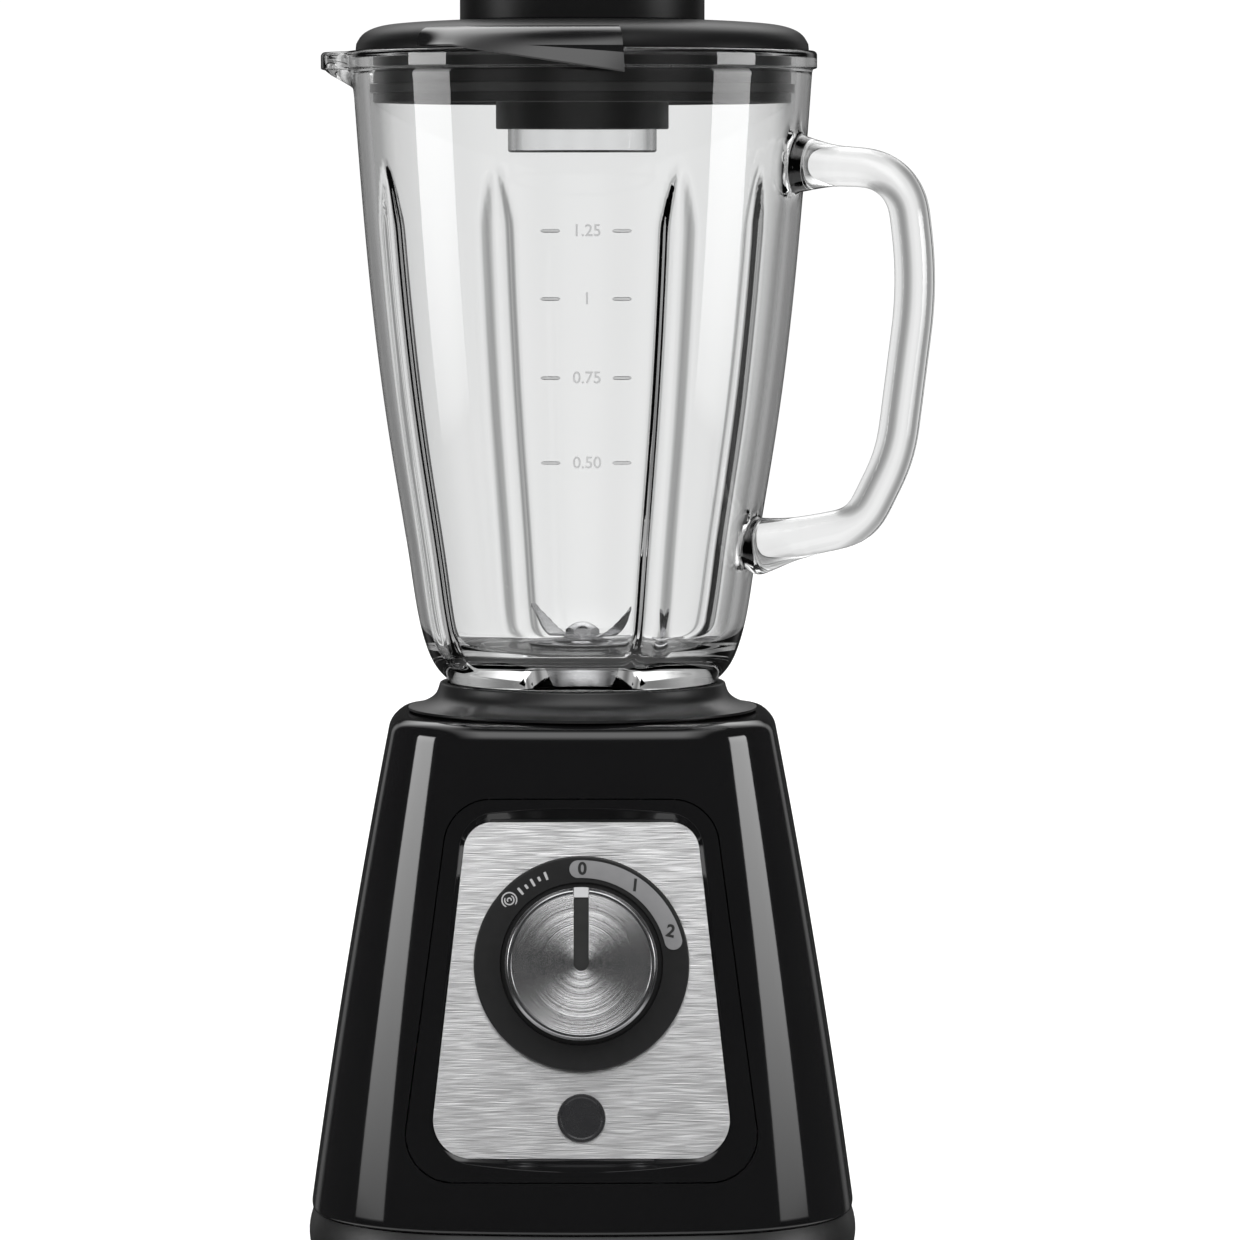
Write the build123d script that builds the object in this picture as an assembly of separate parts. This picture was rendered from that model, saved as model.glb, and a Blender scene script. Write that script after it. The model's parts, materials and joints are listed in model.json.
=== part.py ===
from build123d import *
import os
from math import cos, radians, sin

os.makedirs("parts", exist_ok=True)

# Countertop blender. Millimetres, +Z up. The origin is on the table, under the axis of the motor,
# with the control panel towards -Y. r is the distance from that axis.

# ---------------------------------------------------------------- clearances
FIT = 0.05  # running fit between a shaft and its bore, on the radius
SLIP = 0.1  # play between pieces that are pushed or screwed together
SEAM = 0.25  # visible gap between two covers

# ---------------------------------------------------------------- base casing
CASING_FOOT_Z = 20.8  # lower edge of the glossy casing
CASING_TOP_Z = 178.5  # deck on which the jug stands
FOOT_HALF_WIDTH = 87.0
FOOT_HALF_DEPTH = 76.0
FOOT_CORNER = 54.0
DECK_HALF_WIDTH = 61.0
DECK_HALF_DEPTH = 57.0
DECK_CORNER = 32.0
SIDE_BOW_RADIUS = 290.0  # plan radius of the bowed sides
BOW_ROUNDS = 8  # how often the crossing of two bowed sides is refined
CASING_SWELL = 1.2  # how far the sides bulge at mid height
CASING_WALL = 3.0
DECK_EDGE_ROUND = 4.5
FOOT_EDGE_ROUND = 1.8

TRAY_TOP_Z = CASING_FOOT_Z - SEAM
TRAY_SWELL_Z = 13.0
TRAY_FOOT_Z = 3.0
TRAY_TOP_INSET = 1.5
TRAY_SWELL_INSET = -0.7
TRAY_FOOT_INSET = 3.5
TRAY_WALL = 3.0
TRAY_FLOOR_Z = TRAY_FOOT_Z + TRAY_WALL
LIP_HEIGHT = 6.0  # tongue of the tray inside the casing
LIP_WALL = 2.2
RING_INSET = 8.0  # rubber ring under the tray
RING_WIDTH = 12.0
RING_GAP_HALF = 22.0  # gap in the ring at the back, for air

BOSS_X = 56.0
BOSS_Y = 44.0
BOSS_RADIUS = 5.5
BOSS_FOOT_Z = 22.0
BOSS_TOP_Z = 55.0
BASE_SCREW_RADIUS = 1.9
BASE_SCREW_HEAD = 3.8
BASE_SCREW_LENGTH = 30.0

VENT_COUNT = 9
VENT_PITCH = 7.0
VENT_WIDTH = 3.0
VENT_FOOT_Z = 58.0
VENT_TOP_Z = 92.0
INLET_Z = 36.0
INLET_RADIUS = 6.0
INLET_BORE = 3.4

# ---------------------------------------------------------------- control panel
PANEL_LEAN = 7.0
PANEL_Z = 104.5  # height of the knob's centre
PANEL_FRONT = 63.0  # distance of the plate's face from the axis, at the knob's centre
BEZEL_TOP = 51.4
BEZEL_FOOT = -68.2
BEZEL_TOP_HALF = 41.4
BEZEL_FOOT_HALF = 57.2
BEZEL_CORNER = 15.0
BEZEL_RIM = 1.2
BEZEL_DEPTH = 4.5
BEZEL_RISE = 5.0
BACKING_WALL = 3.0
BACKING_MARGIN = 4.0
PLATE_TOP = 44.1
PLATE_FOOT = -60.5
PLATE_TOP_HALF = 35.8
PLATE_FOOT_HALF = 47.6
PLATE_TOP_CORNER = 9.0
PLATE_FOOT_CORNER = 12.0
PLATE_THICKNESS = 1.5
BADGE_Y = -47.9
BADGE_RADIUS = 7.5
BADGE_THICKNESS = 0.9

DIAL_RADIUS = 33.6
DIAL_THICKNESS = 1.6
DIAL_WELL_RADIUS = 25.2
DIAL_WELL_Z = 0.5
SCALE_RADIUS = 29.5
SCALE_WIDTH = 5.5
SCALE_START = -2.0  # degrees clockwise from the top
SCALE_END = 76.0
SCALE_THICKNESS = 0.3

KNOB_RADIUS = 23.75
KNOB_FOOT = 2.0
KNOB_TOP = 15.5
KNOB_WALL = 3.2
KNOB_CROWN = 4.0
KNOB_RIM_CHAMFER = 1.2
KNOB_FACE_RADIUS = 21.5
KNOB_FACE_RECESS = 1.0
KNOB_FACE_THICKNESS = 0.7
KNOB_HUB_RADIUS = 6.5
POINTER_WIDTH = 4.7
POINTER_TAIL = 2.2  # the slot ends this far past the centre
POINTER_THICKNESS = 0.45
INDEX_WIDTH = 4.5
INDEX_DEPTH = 6.0
SPINDLE_RADIUS = 3.0
SPINDLE_LENGTH = 32.0
BUSH_RADIUS = 4.5
SWITCH_HALF = 16.0
SWITCH_DEPTH = 13.0

# ---------------------------------------------------------------- jug seat and coupling
SEAT_RADIUS = 49.7
SEAT_HOLE = SEAT_RADIUS + SEAM
SEAT_TOP_Z = CASING_TOP_Z + 0.4
SEAT_FOOT_Z = CASING_TOP_Z - 6.0
SEAT_FLANGE = 54.0
WELL_RADIUS = 21.0
WELL_WALL = 3.0
WELL_FLOOR_Z = 160.0
HUB_BORE = 5.0
MOUNT_X = 24.0  # places of the four motor mounts
MOUNT_Y = 32.0
SEAT_BOSS_RADIUS = 5.5
SEAT_BOSS_FOOT_Z = 131.0
LUG_INNER = 32.0
LUG_OUTER = 39.5
LUG_HALF_ANGLE = 9.0
LUG_HEIGHT = 1.7

COUPLING_RADIUS = 16.8
COUPLING_TEETH = 6
TOOTH_HALF_ANGLE = 13.0
TOOTH_INNER = 9.0
TOOTH_OUTER = 16.4
TOOTH_GAP = 0.9  # end gap between the teeth and the other half
HUB_RADIUS = 7.0
MOTOR_DISC_Z = 166.5
DISC_THICKNESS = 4.0
TOOTH_HEIGHT = 7.9
MOTOR_DISC_TOP = MOTOR_DISC_Z + DISC_THICKNESS
JUG_DISC_Z = MOTOR_DISC_TOP + TOOTH_HEIGHT + TOOTH_GAP
JUG_DISC_TOP = JUG_DISC_Z + DISC_THICKNESS - 0.4

PIN_Y = 45.5
PIN_RADIUS = 2.5
PIN_TOP_GAP = 0.3
PIN_FOOT_Z = 149.3
PIN_FLANGE_RADIUS = 4.6
PIN_FLANGE_Z = 164.0
PIN_FLANGE_THICKNESS = 1.6
SHELF_Z = 152.0
SHELF_THICKNESS = 2.0
TOWER_FRONT_Y = 50.2
TOWER_BACK_Y = 53.0
TOWER_HALF = 11.0
TOWER_FOOT_Z = 137.0
MICRO_HALF = 10.0
MICRO_DEPTH = 10.0
MICRO_HEIGHT = 10.0
MICRO_TOP_Z = PIN_FOOT_Z - 0.3

# ---------------------------------------------------------------- motor
SHAFT_RADIUS = 4.0
SHAFT_FOOT_Z = 12.0
SHAFT_TOP_Z = 172.0
CORE_Z = 66.0
CORE_HEIGHT = 34.0
CORE_TOP_Z = CORE_Z + CORE_HEIGHT
CORE_HALF_X = 42.0
CORE_HALF_Y = 36.0
CORE_CORNER = 8.0
ARMATURE_RADIUS = 24.0
AIR_GAP = 0.6
ARMATURE_SLOTS = 12
SLOT_WIDTH = 3.2
SLOT_FLOOR = 15.0
WINDING_RADIUS = 21.0
WINDING_INNER = 9.0
WINDING_HEIGHT = 8.0
WINDOW_X = 26.0
WINDOW_WIDTH = 7.0
WINDOW_Y = 19.0
WINDOW_LENGTH = 10.0
COIL_OVERHANG = 7.0
FRAME_SCREW_X = 37.0
FRAME_SCREW_Y = 31.0
FRAME_POST_RADIUS = 3.5
FRAME_SCREW_RADIUS = 1.6
FRAME_SCREW_HEAD = 3.0
BEARING_OUTER = 11.0
BEARING_HEIGHT = 7.0
BEARING_RACE = 2.2
CUP_WALL = 2.5
CUP_LIP = 1.5
CUP_LIP_RADIUS = 8.0
LOWER_PLATE_Z = 41.0
UPPER_PLATE_Z = 118.0
PLATE = 3.0
LOWER_CUP_Z = 33.0
UPPER_CUP_Z = 110.5
COMMUTATOR_RADIUS = 11.0
COMMUTATOR_Z = 45.0
COMMUTATOR_HEIGHT = 10.0
COMMUTATOR_BARS = 24
HOLDER_INNER_X = 12.5
HOLDER_OUTER_X = 36.0
HOLDER_HALF_Y = 5.5
HOLDER_HEIGHT = 12.0
HOLDER_WALL = 1.5
BRUSH_TAIL_X = 26.0
BRUSH_GAP = 0.35
SPRING_WIRE = 0.45
MOUNT_OUTER = 6.5
MOUNT_SCREW_RADIUS = 1.5
MOUNT_SCREW_HEAD = 3.4
MOUNT_SCREW_REACH = 17.0
FAN_RADIUS = 33.0
FAN_Z = 14.0
FAN_HEIGHT = 11.0
FAN_HUB = 9.0
FAN_BLADES = 9
FAN_BLADE_THICKNESS = 1.6
FAN_SWEEP = 18.0
SHROUD_INNER = 37.0
SHROUD_WALL = 2.5
SHROUD_TOP_Z = 29.0
BOARD_X = -62.0
BOARD_THICKNESS = 1.6
BOARD_HALF_Y = 25.0
BOARD_FOOT_Z = 30.0
BOARD_HEIGHT = 50.0

# ---------------------------------------------------------------- jug
JUG_TURN = -18.0  # the handle points this far round from +X
JUG_WALL = 4.8
JUG_FLANK = [(50.1, 199.7), (54.8, 223.4), (61.5, 265.0), (69.1, 329.6), (73.1, 381.4)]
JUG_NECK = [(43.0, 188.5), (46.2, 191.8)]
RIM_RADIUS = 74.7
RIM_FOOT_Z = 383.0
RIM_Z = 388.9
RIM_INNER = 69.6
JUG_FLOOR_Z = 196.5
JUG_FLOOR_FLAT = 33.0
JUG_HEEL_Z = 208.0
FLOOR_THICKNESS = 6.5
JUG_FOOT_RADIUS = 42.5
JUG_FOOT_INNER = 34.0
JUG_FOOT_Z = SEAT_TOP_Z + 2.1
RIB_WIDTH = 15.0
RIB_DEPTH = 4.5
RIB_TOP_Z = 351.0
RIB_TOP_RADIUS = 70.8

HANDLE_WIDTH = 16.0
HANDLE_DEPTH = 12.4
HANDLE_ROUTE = [(66.0, 353.4), (106.5, 351.2), (110.8, 316.0), (103.8, 262.0), (92.5, 239.5), (53.0, 231.0)]
HANDLE_BENDS = [16.0, 120.0, 50.0, 14.0]
HANDLE_ROOT = 11.0
HANDLE_ROOT_LENGTH = 19.0

SPOUT_TIP = 88.0
SPOUT_TIP_ROUND = 12.0
SPOUT_HALF_ANGLE = 34.0
SPOUT_TOP_Z = 388.5
SPOUT_ROOT_Z = 375.5
SPOUT_LIP = 4.6

COLLAR_FOOT = 55.8
COLLAR_FLANGE_INNER = 36.0
COLLAR_LIP_Z = 187.8
COLLAR_LIP = 45.5
COLLAR_BORE = JUG_FOOT_RADIUS + 0.7

GASKET_RADIUS = 17.5
GASKET_THICKNESS = 0.8
CARRIER_FLANGE = 17.0
CARRIER_FLANGE_THICKNESS = 1.5
CARRIER_HUB = 12.2
CARRIER_FOOT_Z = JUG_DISC_TOP + 0.6
CARRIER_DOME = 9.0
CARRIER_DOME_RISE = 0.8
CARRIER_BORE = 7.0
CARRIER_EYE = 5.5
EYE_HEIGHT = 1.0
CARRIER_NUT = 17.3
BLADE_SHAFT_RADIUS = 4.0
BLADE_STUD_RADIUS = 3.0
BLADE_THICKNESS = 1.2
BLADE_HUB = 7.0
BLADE_GAP = 0.4
SPACER_THICKNESS = 0.6
UPPER_ARM_REACH = 18.4
UPPER_ARM_RISE = 10.0
LOWER_ARM_REACH = 25.0
LOWER_ARM_DROP = 1.0
ARM_FLAT = 9.0
ARM_ROOT_HALF = 5.5
ARM_TIP_HALF = 2.2
UPPER_BLADE_TURN = -33.0
LOWER_BLADE_TURN = 35.0
CAP_NUT_RADIUS = 5.4
CAP_NUT_HEIGHT = 4.4

# ---------------------------------------------------------------- lid and cap
LID_SEAT_Z = RIM_Z
LID_RADIUS = 72.1
PLUG_RADIUS = 66.5
PLUG_FOOT_Z = 372.3
PLUG_WALL = 3.0
LID_TOP_Z = 398.5
LID_FLAT = 40.0
LID_SKIN = 3.0
NECK_RADIUS = 27.5
NECK_FOOT_Z = 364.2
NECK_BORE = 25.0
SEAL_Z = 375.6
SEAL_HEIGHT = 2.8
SEAL_INNER = 65.0
SEAL_OUTER = 67.6
TAB_INNER = RIM_RADIUS + 0.6
TAB_OUTER = 77.4
TAB_START = -45.0  # degrees from the front, towards +X
TAB_END = 10.0
TAB_TOP_Z = 392.0
TAB_FOOT_Z = 381.0
TAB_HIGH_Z = 390.5

CAP_RADIUS = 38.9
CAP_TOP_Z = 424.0
CAP_WALL = 2.5
CAP_ROUND = 4.0
CAP_BOSS = 18.0
CUP_RADIUS = 23.7
CUP_THICKNESS = 2.0
CUP_FOOT_Z = 356.8
CUP_TOP_Z = 404.0


# ---------------------------------------------------------------- shared shapes
def disc(radius, low, high, x=0.0, y=0.0):
    """An upright cylinder between two heights."""
    column = Cylinder(radius, high - low, align=(Align.CENTER, Align.CENTER, Align.MIN))
    return Pos(x, y, low) * column


def ring(outer, inner, low, high, x=0.0, y=0.0):
    """An upright tube between two heights."""
    return disc(outer, low, high, x, y) - disc(inner, low, high, x, y)


def block(x0, x1, y0, y1, z0, z1):
    """A box given by its six faces."""
    return Pos((x0 + x1) / 2, (y0 + y1) / 2, (z0 + z1) / 2) * Box(x1 - x0, y1 - y0, z1 - z0)


def turned(outline):
    """A closed outline in (r, z) turned about the Z axis: a list of points, or of edges."""
    if isinstance(outline[0], tuple):
        outline = [Polyline(*outline, close=True)]
    return revolve(Plane.XZ * make_face(outline), Axis.Z)


def wedge(half_angle, low, high, reach=100.0):
    """A prism that holds everything within half_angle of the +X direction."""
    x = reach * cos(radians(half_angle))
    y = reach * sin(radians(half_angle))
    return Pos(0, 0, low) * extrude(make_face(Polyline((0, 0), (x, -y), (x, y), close=True)), high - low)


def around(shape, count, start=0.0):
    """Copies of a shape spaced evenly about the Z axis."""
    return [Rot(0, 0, start + 360.0 / count * i) * shape for i in range(count)]


def corners(shape, x, y):
    """Four copies of a shape, at (+-x, +-y)."""
    return [Pos(sx * x, sy * y, 0) * shape for sx in (-1, 1) for sy in (-1, 1)]


def from_front(angle):
    """The turn about Z that takes +X to a bearing measured from the front (-Y) towards +X."""
    return Rot(0, 0, angle - 90.0)


def save(name, shape):
    """Write one node."""
    export_step(shape, "parts/" + name + ".step")


# ---------------------------------------------------------------- casing
def bowed_outline(z, half_width, half_depth, corner):
    """A rounded four-sided outline whose sides are arcs of SIDE_BOW_RADIUS."""
    x = half_width
    y = half_depth
    for _ in range(BOW_ROUNDS):
        x = half_width - y**2 / (2 * SIDE_BOW_RADIUS)
        y = half_depth - x**2 / (2 * SIDE_BOW_RADIUS)
    sides = [
        ThreePointArc((-x, -y), (0, -half_depth), (x, -y)),
        ThreePointArc((x, -y), (half_width, 0), (x, y)),
        ThreePointArc((x, y), (0, half_depth), (-x, y)),
        ThreePointArc((-x, y), (-half_width, 0), (-x, -y)),
    ]
    outline = make_face(sides)
    return Pos(0, 0, z) * fillet(outline.vertices(), corner)


def casing_outline(z, inset=0.0):
    """The casing's plan at a height, drawn in by inset."""
    t = (z - CASING_FOOT_Z) / (CASING_TOP_Z - CASING_FOOT_Z)
    grow = CASING_SWELL * 4 * t * (1 - t) - inset
    half_width = FOOT_HALF_WIDTH + (DECK_HALF_WIDTH - FOOT_HALF_WIDTH) * t + grow
    half_depth = FOOT_HALF_DEPTH + (DECK_HALF_DEPTH - FOOT_HALF_DEPTH) * t + grow
    corner = FOOT_CORNER + (DECK_CORNER - FOOT_CORNER) * t - inset
    return bowed_outline(z, half_width, half_depth, corner)


def casing_body(inset, low, high):
    """The tapered, swollen body between two heights."""
    return loft([casing_outline(z, inset) for z in (low, (low + high) / 2, high)])


def foot_outline(z, inset):
    """The plan of the casing's lower edge, drawn in by inset, at any height."""
    return bowed_outline(z, FOOT_HALF_WIDTH - inset, FOOT_HALF_DEPTH - inset, FOOT_CORNER - inset)


def back_wall_y(z):
    """Where the middle of the casing's back is at a height."""
    return casing_outline(z).bounding_box().max.Y


def screw_boss():
    """A screw post in a corner of the casing, with a web out to the wall."""
    boss = disc(BOSS_RADIUS, BOSS_FOOT_Z, BOSS_TOP_Z, BOSS_X, BOSS_Y)
    web = block(0, 40, -1, 1, CASING_FOOT_Z + LIP_HEIGHT + 3, BOSS_TOP_Z)
    web = Pos(BOSS_X, BOSS_Y, 0) * Rot(0, 0, 45) * web
    pilot = disc(BASE_SCREW_RADIUS + SLIP, BOSS_FOOT_Z, BOSS_TOP_Z - 4, BOSS_X, BOSS_Y)
    return boss + web, pilot


def motor_housing():
    outer = casing_body(0.0, CASING_FOOT_Z, CASING_TOP_Z)
    shell = fillet(outer.faces().sort_by(Axis.Z)[-1].edges(), DECK_EDGE_ROUND)
    shell = fillet(shell.faces().sort_by(Axis.Z)[0].edges(), FOOT_EDGE_ROUND)
    cavity = casing_body(CASING_WALL, CASING_FOOT_Z - 1, CASING_TOP_Z - CASING_WALL)
    shell -= cavity
    skin = casing_body(CASING_WALL / 2, CASING_FOOT_Z + 0.5, CASING_TOP_Z - CASING_WALL / 2)
    floor_low = -BEZEL_DEPTH - BACKING_WALL
    shell += on_panel(bezel_prism(BACKING_MARGIN, floor_low, BEZEL_RISE)) & skin
    boss, pilot = screw_boss()
    for mirrored in four_ways(boss):
        shell += mirrored & skin
    for mirrored in four_ways(pilot):
        shell -= mirrored
    shell -= on_panel(bezel_prism(0.0, -BEZEL_DEPTH, 3 * BEZEL_RISE))
    shell -= on_panel(disc(BUSH_RADIUS + SLIP, floor_low - 1, 0))
    shell -= disc(SEAT_HOLE, CASING_TOP_Z - CASING_WALL - 1, CASING_TOP_Z + 1)
    first = -VENT_PITCH * (VENT_COUNT - 1) / 2
    slot = block(-VENT_WIDTH / 2, VENT_WIDTH / 2, 30, 90, VENT_FOOT_Z, VENT_TOP_Z)
    shell -= [Pos(first + VENT_PITCH * i, 0, 0) * slot for i in range(VENT_COUNT)]
    shell -= along_y(INLET_RADIUS + SLIP, back_wall_y(INLET_Z) - 20, back_wall_y(INLET_Z) + 10, INLET_Z)
    return shell


def four_ways(shape):
    """A shape and its mirror images in the XZ and YZ planes."""
    pair = [shape, mirror(shape, Plane.XZ)]
    return pair + [mirror(one, Plane.YZ) for one in pair]


def along_y(radius, y0, y1, z):
    """A cylinder that points back, at a height."""
    return Pos(0, y0, z) * Rot(-90, 0, 0) * disc(radius, 0, y1 - y0)


def cord_inlet():
    wall = back_wall_y(INLET_Z)
    bush = along_y(INLET_RADIUS, wall - 9, wall + 1.5, INLET_Z)
    bush += along_y(INLET_RADIUS + 2.5, wall - 9, wall - 6, INLET_Z)
    return bush - along_y(INLET_BORE, wall - 10, wall + 3, INLET_Z)


def base_tray():
    heights = [(TRAY_FOOT_Z, TRAY_FOOT_INSET), (TRAY_SWELL_Z, TRAY_SWELL_INSET), (TRAY_TOP_Z, TRAY_TOP_INSET)]
    tray = loft([foot_outline(z, inset) for z, inset in heights])
    hollow = [(TRAY_FLOOR_Z, TRAY_FOOT_INSET), (TRAY_SWELL_Z, TRAY_SWELL_INSET), (TRAY_TOP_Z + 1, TRAY_TOP_INSET)]
    tray -= loft([foot_outline(z, inset + TRAY_WALL) for z, inset in hollow])
    lip_inset = CASING_WALL + SEAM
    lip_low = TRAY_TOP_Z - 4
    lip_high = TRAY_TOP_Z + LIP_HEIGHT
    lip = casing_body(lip_inset, lip_low, lip_high)
    tray += lip - casing_body(lip_inset + LIP_WALL, lip_low - 1, lip_high + 1)
    tray += corners(disc(BOSS_RADIUS, TRAY_FLOOR_Z - 1, BOSS_FOOT_Z - SLIP), BOSS_X, BOSS_Y)
    tray -= corners(disc(BASE_SCREW_RADIUS + SLIP, TRAY_FOOT_Z, BOSS_FOOT_Z), BOSS_X, BOSS_Y)
    tray -= corners(disc(BASE_SCREW_HEAD + SLIP, TRAY_FOOT_Z, TRAY_FLOOR_Z), BOSS_X, BOSS_Y)
    vent = Rot(0, 0, 7.5) * (ring(SHROUD_INNER - 2, 13, TRAY_FOOT_Z - 1, TRAY_FLOOR_Z + 1) & wedge(4, 0, 20))
    tray -= around(vent, 12)
    half_slot = BOARD_THICKNESS / 2 + SLIP
    slot = block(BOARD_X - half_slot, BOARD_X + half_slot, -30, 30, BOARD_FOOT_Z, 60)
    for y in (-BOARD_HALF_Y + 4, BOARD_HALF_Y - 4):
        post = block(BOARD_X - 4, BOARD_X + 4, y - 3, y + 3, TRAY_FLOOR_Z - 1, BOARD_FOOT_Z + 8)
        tray += post - slot
    return tray


def foot_ring():
    outer = extrude(foot_outline(0, RING_INSET), TRAY_FOOT_Z)
    pad = outer - extrude(foot_outline(0, RING_INSET + RING_WIDTH), TRAY_FOOT_Z)
    pad -= corners(disc(BASE_SCREW_HEAD + 1, 0, TRAY_FOOT_Z), BOSS_X, BOSS_Y)
    return pad - block(-RING_GAP_HALF, RING_GAP_HALF, 0, 100, 0, TRAY_FOOT_Z)


def base_screws():
    head = disc(BASE_SCREW_HEAD, TRAY_FLOOR_Z - 2.4, TRAY_FLOOR_Z)
    shank = disc(BASE_SCREW_RADIUS, TRAY_FLOOR_Z, TRAY_FLOOR_Z + BASE_SCREW_LENGTH)
    socket = extrude(Pos(0, 0, TRAY_FLOOR_Z - 2.4) * Rectangle(4.6, 1.1), 1.2)
    return Part() + corners(head + shank - socket, BOSS_X, BOSS_Y)


# ---------------------------------------------------------------- control panel
PANEL_PLANE = Plane(
    origin=(0, -PANEL_FRONT, PANEL_Z),
    x_dir=(1, 0, 0),
    z_dir=(0, -cos(radians(PANEL_LEAN)), sin(radians(PANEL_LEAN))),
)


def on_panel(shape):
    """Place a shape drawn with x across the panel, y up it and z out of it."""
    return PANEL_PLANE.location * shape


def trapezium(top, foot, top_half, foot_half, top_round, foot_round):
    """A rounded trapezium, wider at its foot."""
    outline = [(-foot_half, foot), (foot_half, foot), (top_half, top), (-top_half, top)]
    face = make_face(Polyline(*outline, close=True))
    face = fillet(face.vertices().group_by(Axis.Y)[-1], top_round)
    foot_corners = face.vertices().filter_by(lambda v: v.Y < foot + 0.01 and abs(v.X) > foot_half - 0.01)
    return fillet(foot_corners, foot_round)


def bezel_outline(grow):
    return trapezium(
        BEZEL_TOP + grow, BEZEL_FOOT - grow, BEZEL_TOP_HALF + grow, BEZEL_FOOT_HALF + grow,
        BEZEL_CORNER + grow, BEZEL_CORNER + grow,
    )


def plate_outline(grow):
    return trapezium(
        PLATE_TOP + grow, PLATE_FOOT - grow, PLATE_TOP_HALF + grow, PLATE_FOOT_HALF + grow,
        PLATE_TOP_CORNER + grow, PLATE_FOOT_CORNER + grow,
    )


def bezel_prism(grow, low, high):
    return Pos(0, 0, low) * extrude(bezel_outline(grow), high - low)


def control_bezel():
    frame = on_panel(bezel_prism(-SEAM, -BEZEL_DEPTH, 3 * BEZEL_RISE))
    frame &= casing_body(0.0, CASING_FOOT_Z, CASING_TOP_Z)
    dish = loft([plate_outline(SLIP), Pos(0, 0, BEZEL_RISE) * bezel_outline(-SEAM - BEZEL_RIM)])
    dish += Pos(0, 0, BEZEL_RISE) * extrude(bezel_outline(-SEAM - BEZEL_RIM), 10)
    frame -= on_panel(dish)
    frame -= on_panel(Pos(0, 0, -PLATE_THICKNESS) * extrude(plate_outline(SLIP), PLATE_THICKNESS))
    return frame - on_panel(disc(BUSH_RADIUS + SLIP, -BEZEL_DEPTH - 1, 1))


def control_plate():
    plate = Pos(0, 0, -PLATE_THICKNESS) * extrude(plate_outline(0.0), PLATE_THICKNESS)
    return on_panel(plate - disc(BUSH_RADIUS + SLIP, -PLATE_THICKNESS, 0))


def badge():
    button = disc(BADGE_RADIUS, 0, BADGE_THICKNESS)
    button = chamfer(button.faces().sort_by(Axis.Z)[-1].edges(), 0.3)
    return on_panel(Pos(0, BADGE_Y, 0) * button)


def dial_ring():
    dial = disc(DIAL_RADIUS, 0, DIAL_THICKNESS)
    dial = fillet(dial.faces().sort_by(Axis.Z)[-1].edges(), 0.6)
    dial -= disc(DIAL_WELL_RADIUS, DIAL_WELL_Z, DIAL_THICKNESS)
    return on_panel(dial - disc(BUSH_RADIUS + SLIP, 0, DIAL_WELL_Z))


def speed_scale():
    arc = CenterArc((0, 0), SCALE_RADIUS, 90 - SCALE_END, SCALE_END - SCALE_START)
    return on_panel(Pos(0, 0, DIAL_THICKNESS) * extrude(SlotArc(arc, SCALE_WIDTH), SCALE_THICKNESS))


def pointer_slot(width, tail, top, low, high):
    """A straight slot up the knob with a round lower end."""
    strip = Pos(0, (top - tail) / 2, 0) * Rectangle(width, top + tail)
    strip += Pos(0, -tail, 0) * Circle(width / 2)
    return Pos(0, 0, low) * extrude(strip, high - low)


FACE_SEAT = KNOB_TOP - KNOB_FACE_RECESS


def knob_body():
    cap = disc(KNOB_RADIUS, KNOB_FOOT, KNOB_TOP)
    cap = chamfer(cap.faces().sort_by(Axis.Z)[-1].edges(), KNOB_RIM_CHAMFER)
    cap -= disc(KNOB_RADIUS - KNOB_WALL, KNOB_FOOT, KNOB_TOP - KNOB_CROWN)
    cap += disc(KNOB_HUB_RADIUS, KNOB_FOOT, KNOB_TOP - KNOB_CROWN + 1)
    cap -= disc(SPINDLE_RADIUS, 0, KNOB_TOP - KNOB_CROWN)
    cap -= disc(KNOB_FACE_RADIUS + SLIP, FACE_SEAT, KNOB_TOP)
    notch = block(
        -INDEX_WIDTH / 2 - SLIP, INDEX_WIDTH / 2 + SLIP, KNOB_FACE_RADIUS - 1, KNOB_RADIUS + 1,
        KNOB_TOP - INDEX_DEPTH, KNOB_TOP + 1,
    )
    return on_panel(cap - notch)


def knob_face():
    face = disc(KNOB_FACE_RADIUS, FACE_SEAT, FACE_SEAT + KNOB_FACE_THICKNESS)
    slot = pointer_slot(POINTER_WIDTH, POINTER_TAIL - POINTER_WIDTH / 2, KNOB_RADIUS, FACE_SEAT, KNOB_TOP)
    return on_panel(face - slot)


def knob_pointer():
    width = POINTER_WIDTH - 2 * SLIP
    top = KNOB_FACE_RADIUS - 1 - SLIP
    high = FACE_SEAT + POINTER_THICKNESS
    return on_panel(pointer_slot(width, POINTER_TAIL - POINTER_WIDTH / 2, top, FACE_SEAT, high))


def knob_index():
    low = KNOB_TOP - INDEX_DEPTH
    tab = block(-INDEX_WIDTH / 2, INDEX_WIDTH / 2, KNOB_FACE_RADIUS - 1 + SLIP, KNOB_RADIUS, low, KNOB_TOP)
    return on_panel(tab & disc(KNOB_RADIUS, low, KNOB_TOP))


def knob_spindle():
    top = KNOB_TOP - KNOB_CROWN
    return on_panel(disc(SPINDLE_RADIUS, top - SPINDLE_LENGTH, top))


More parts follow.
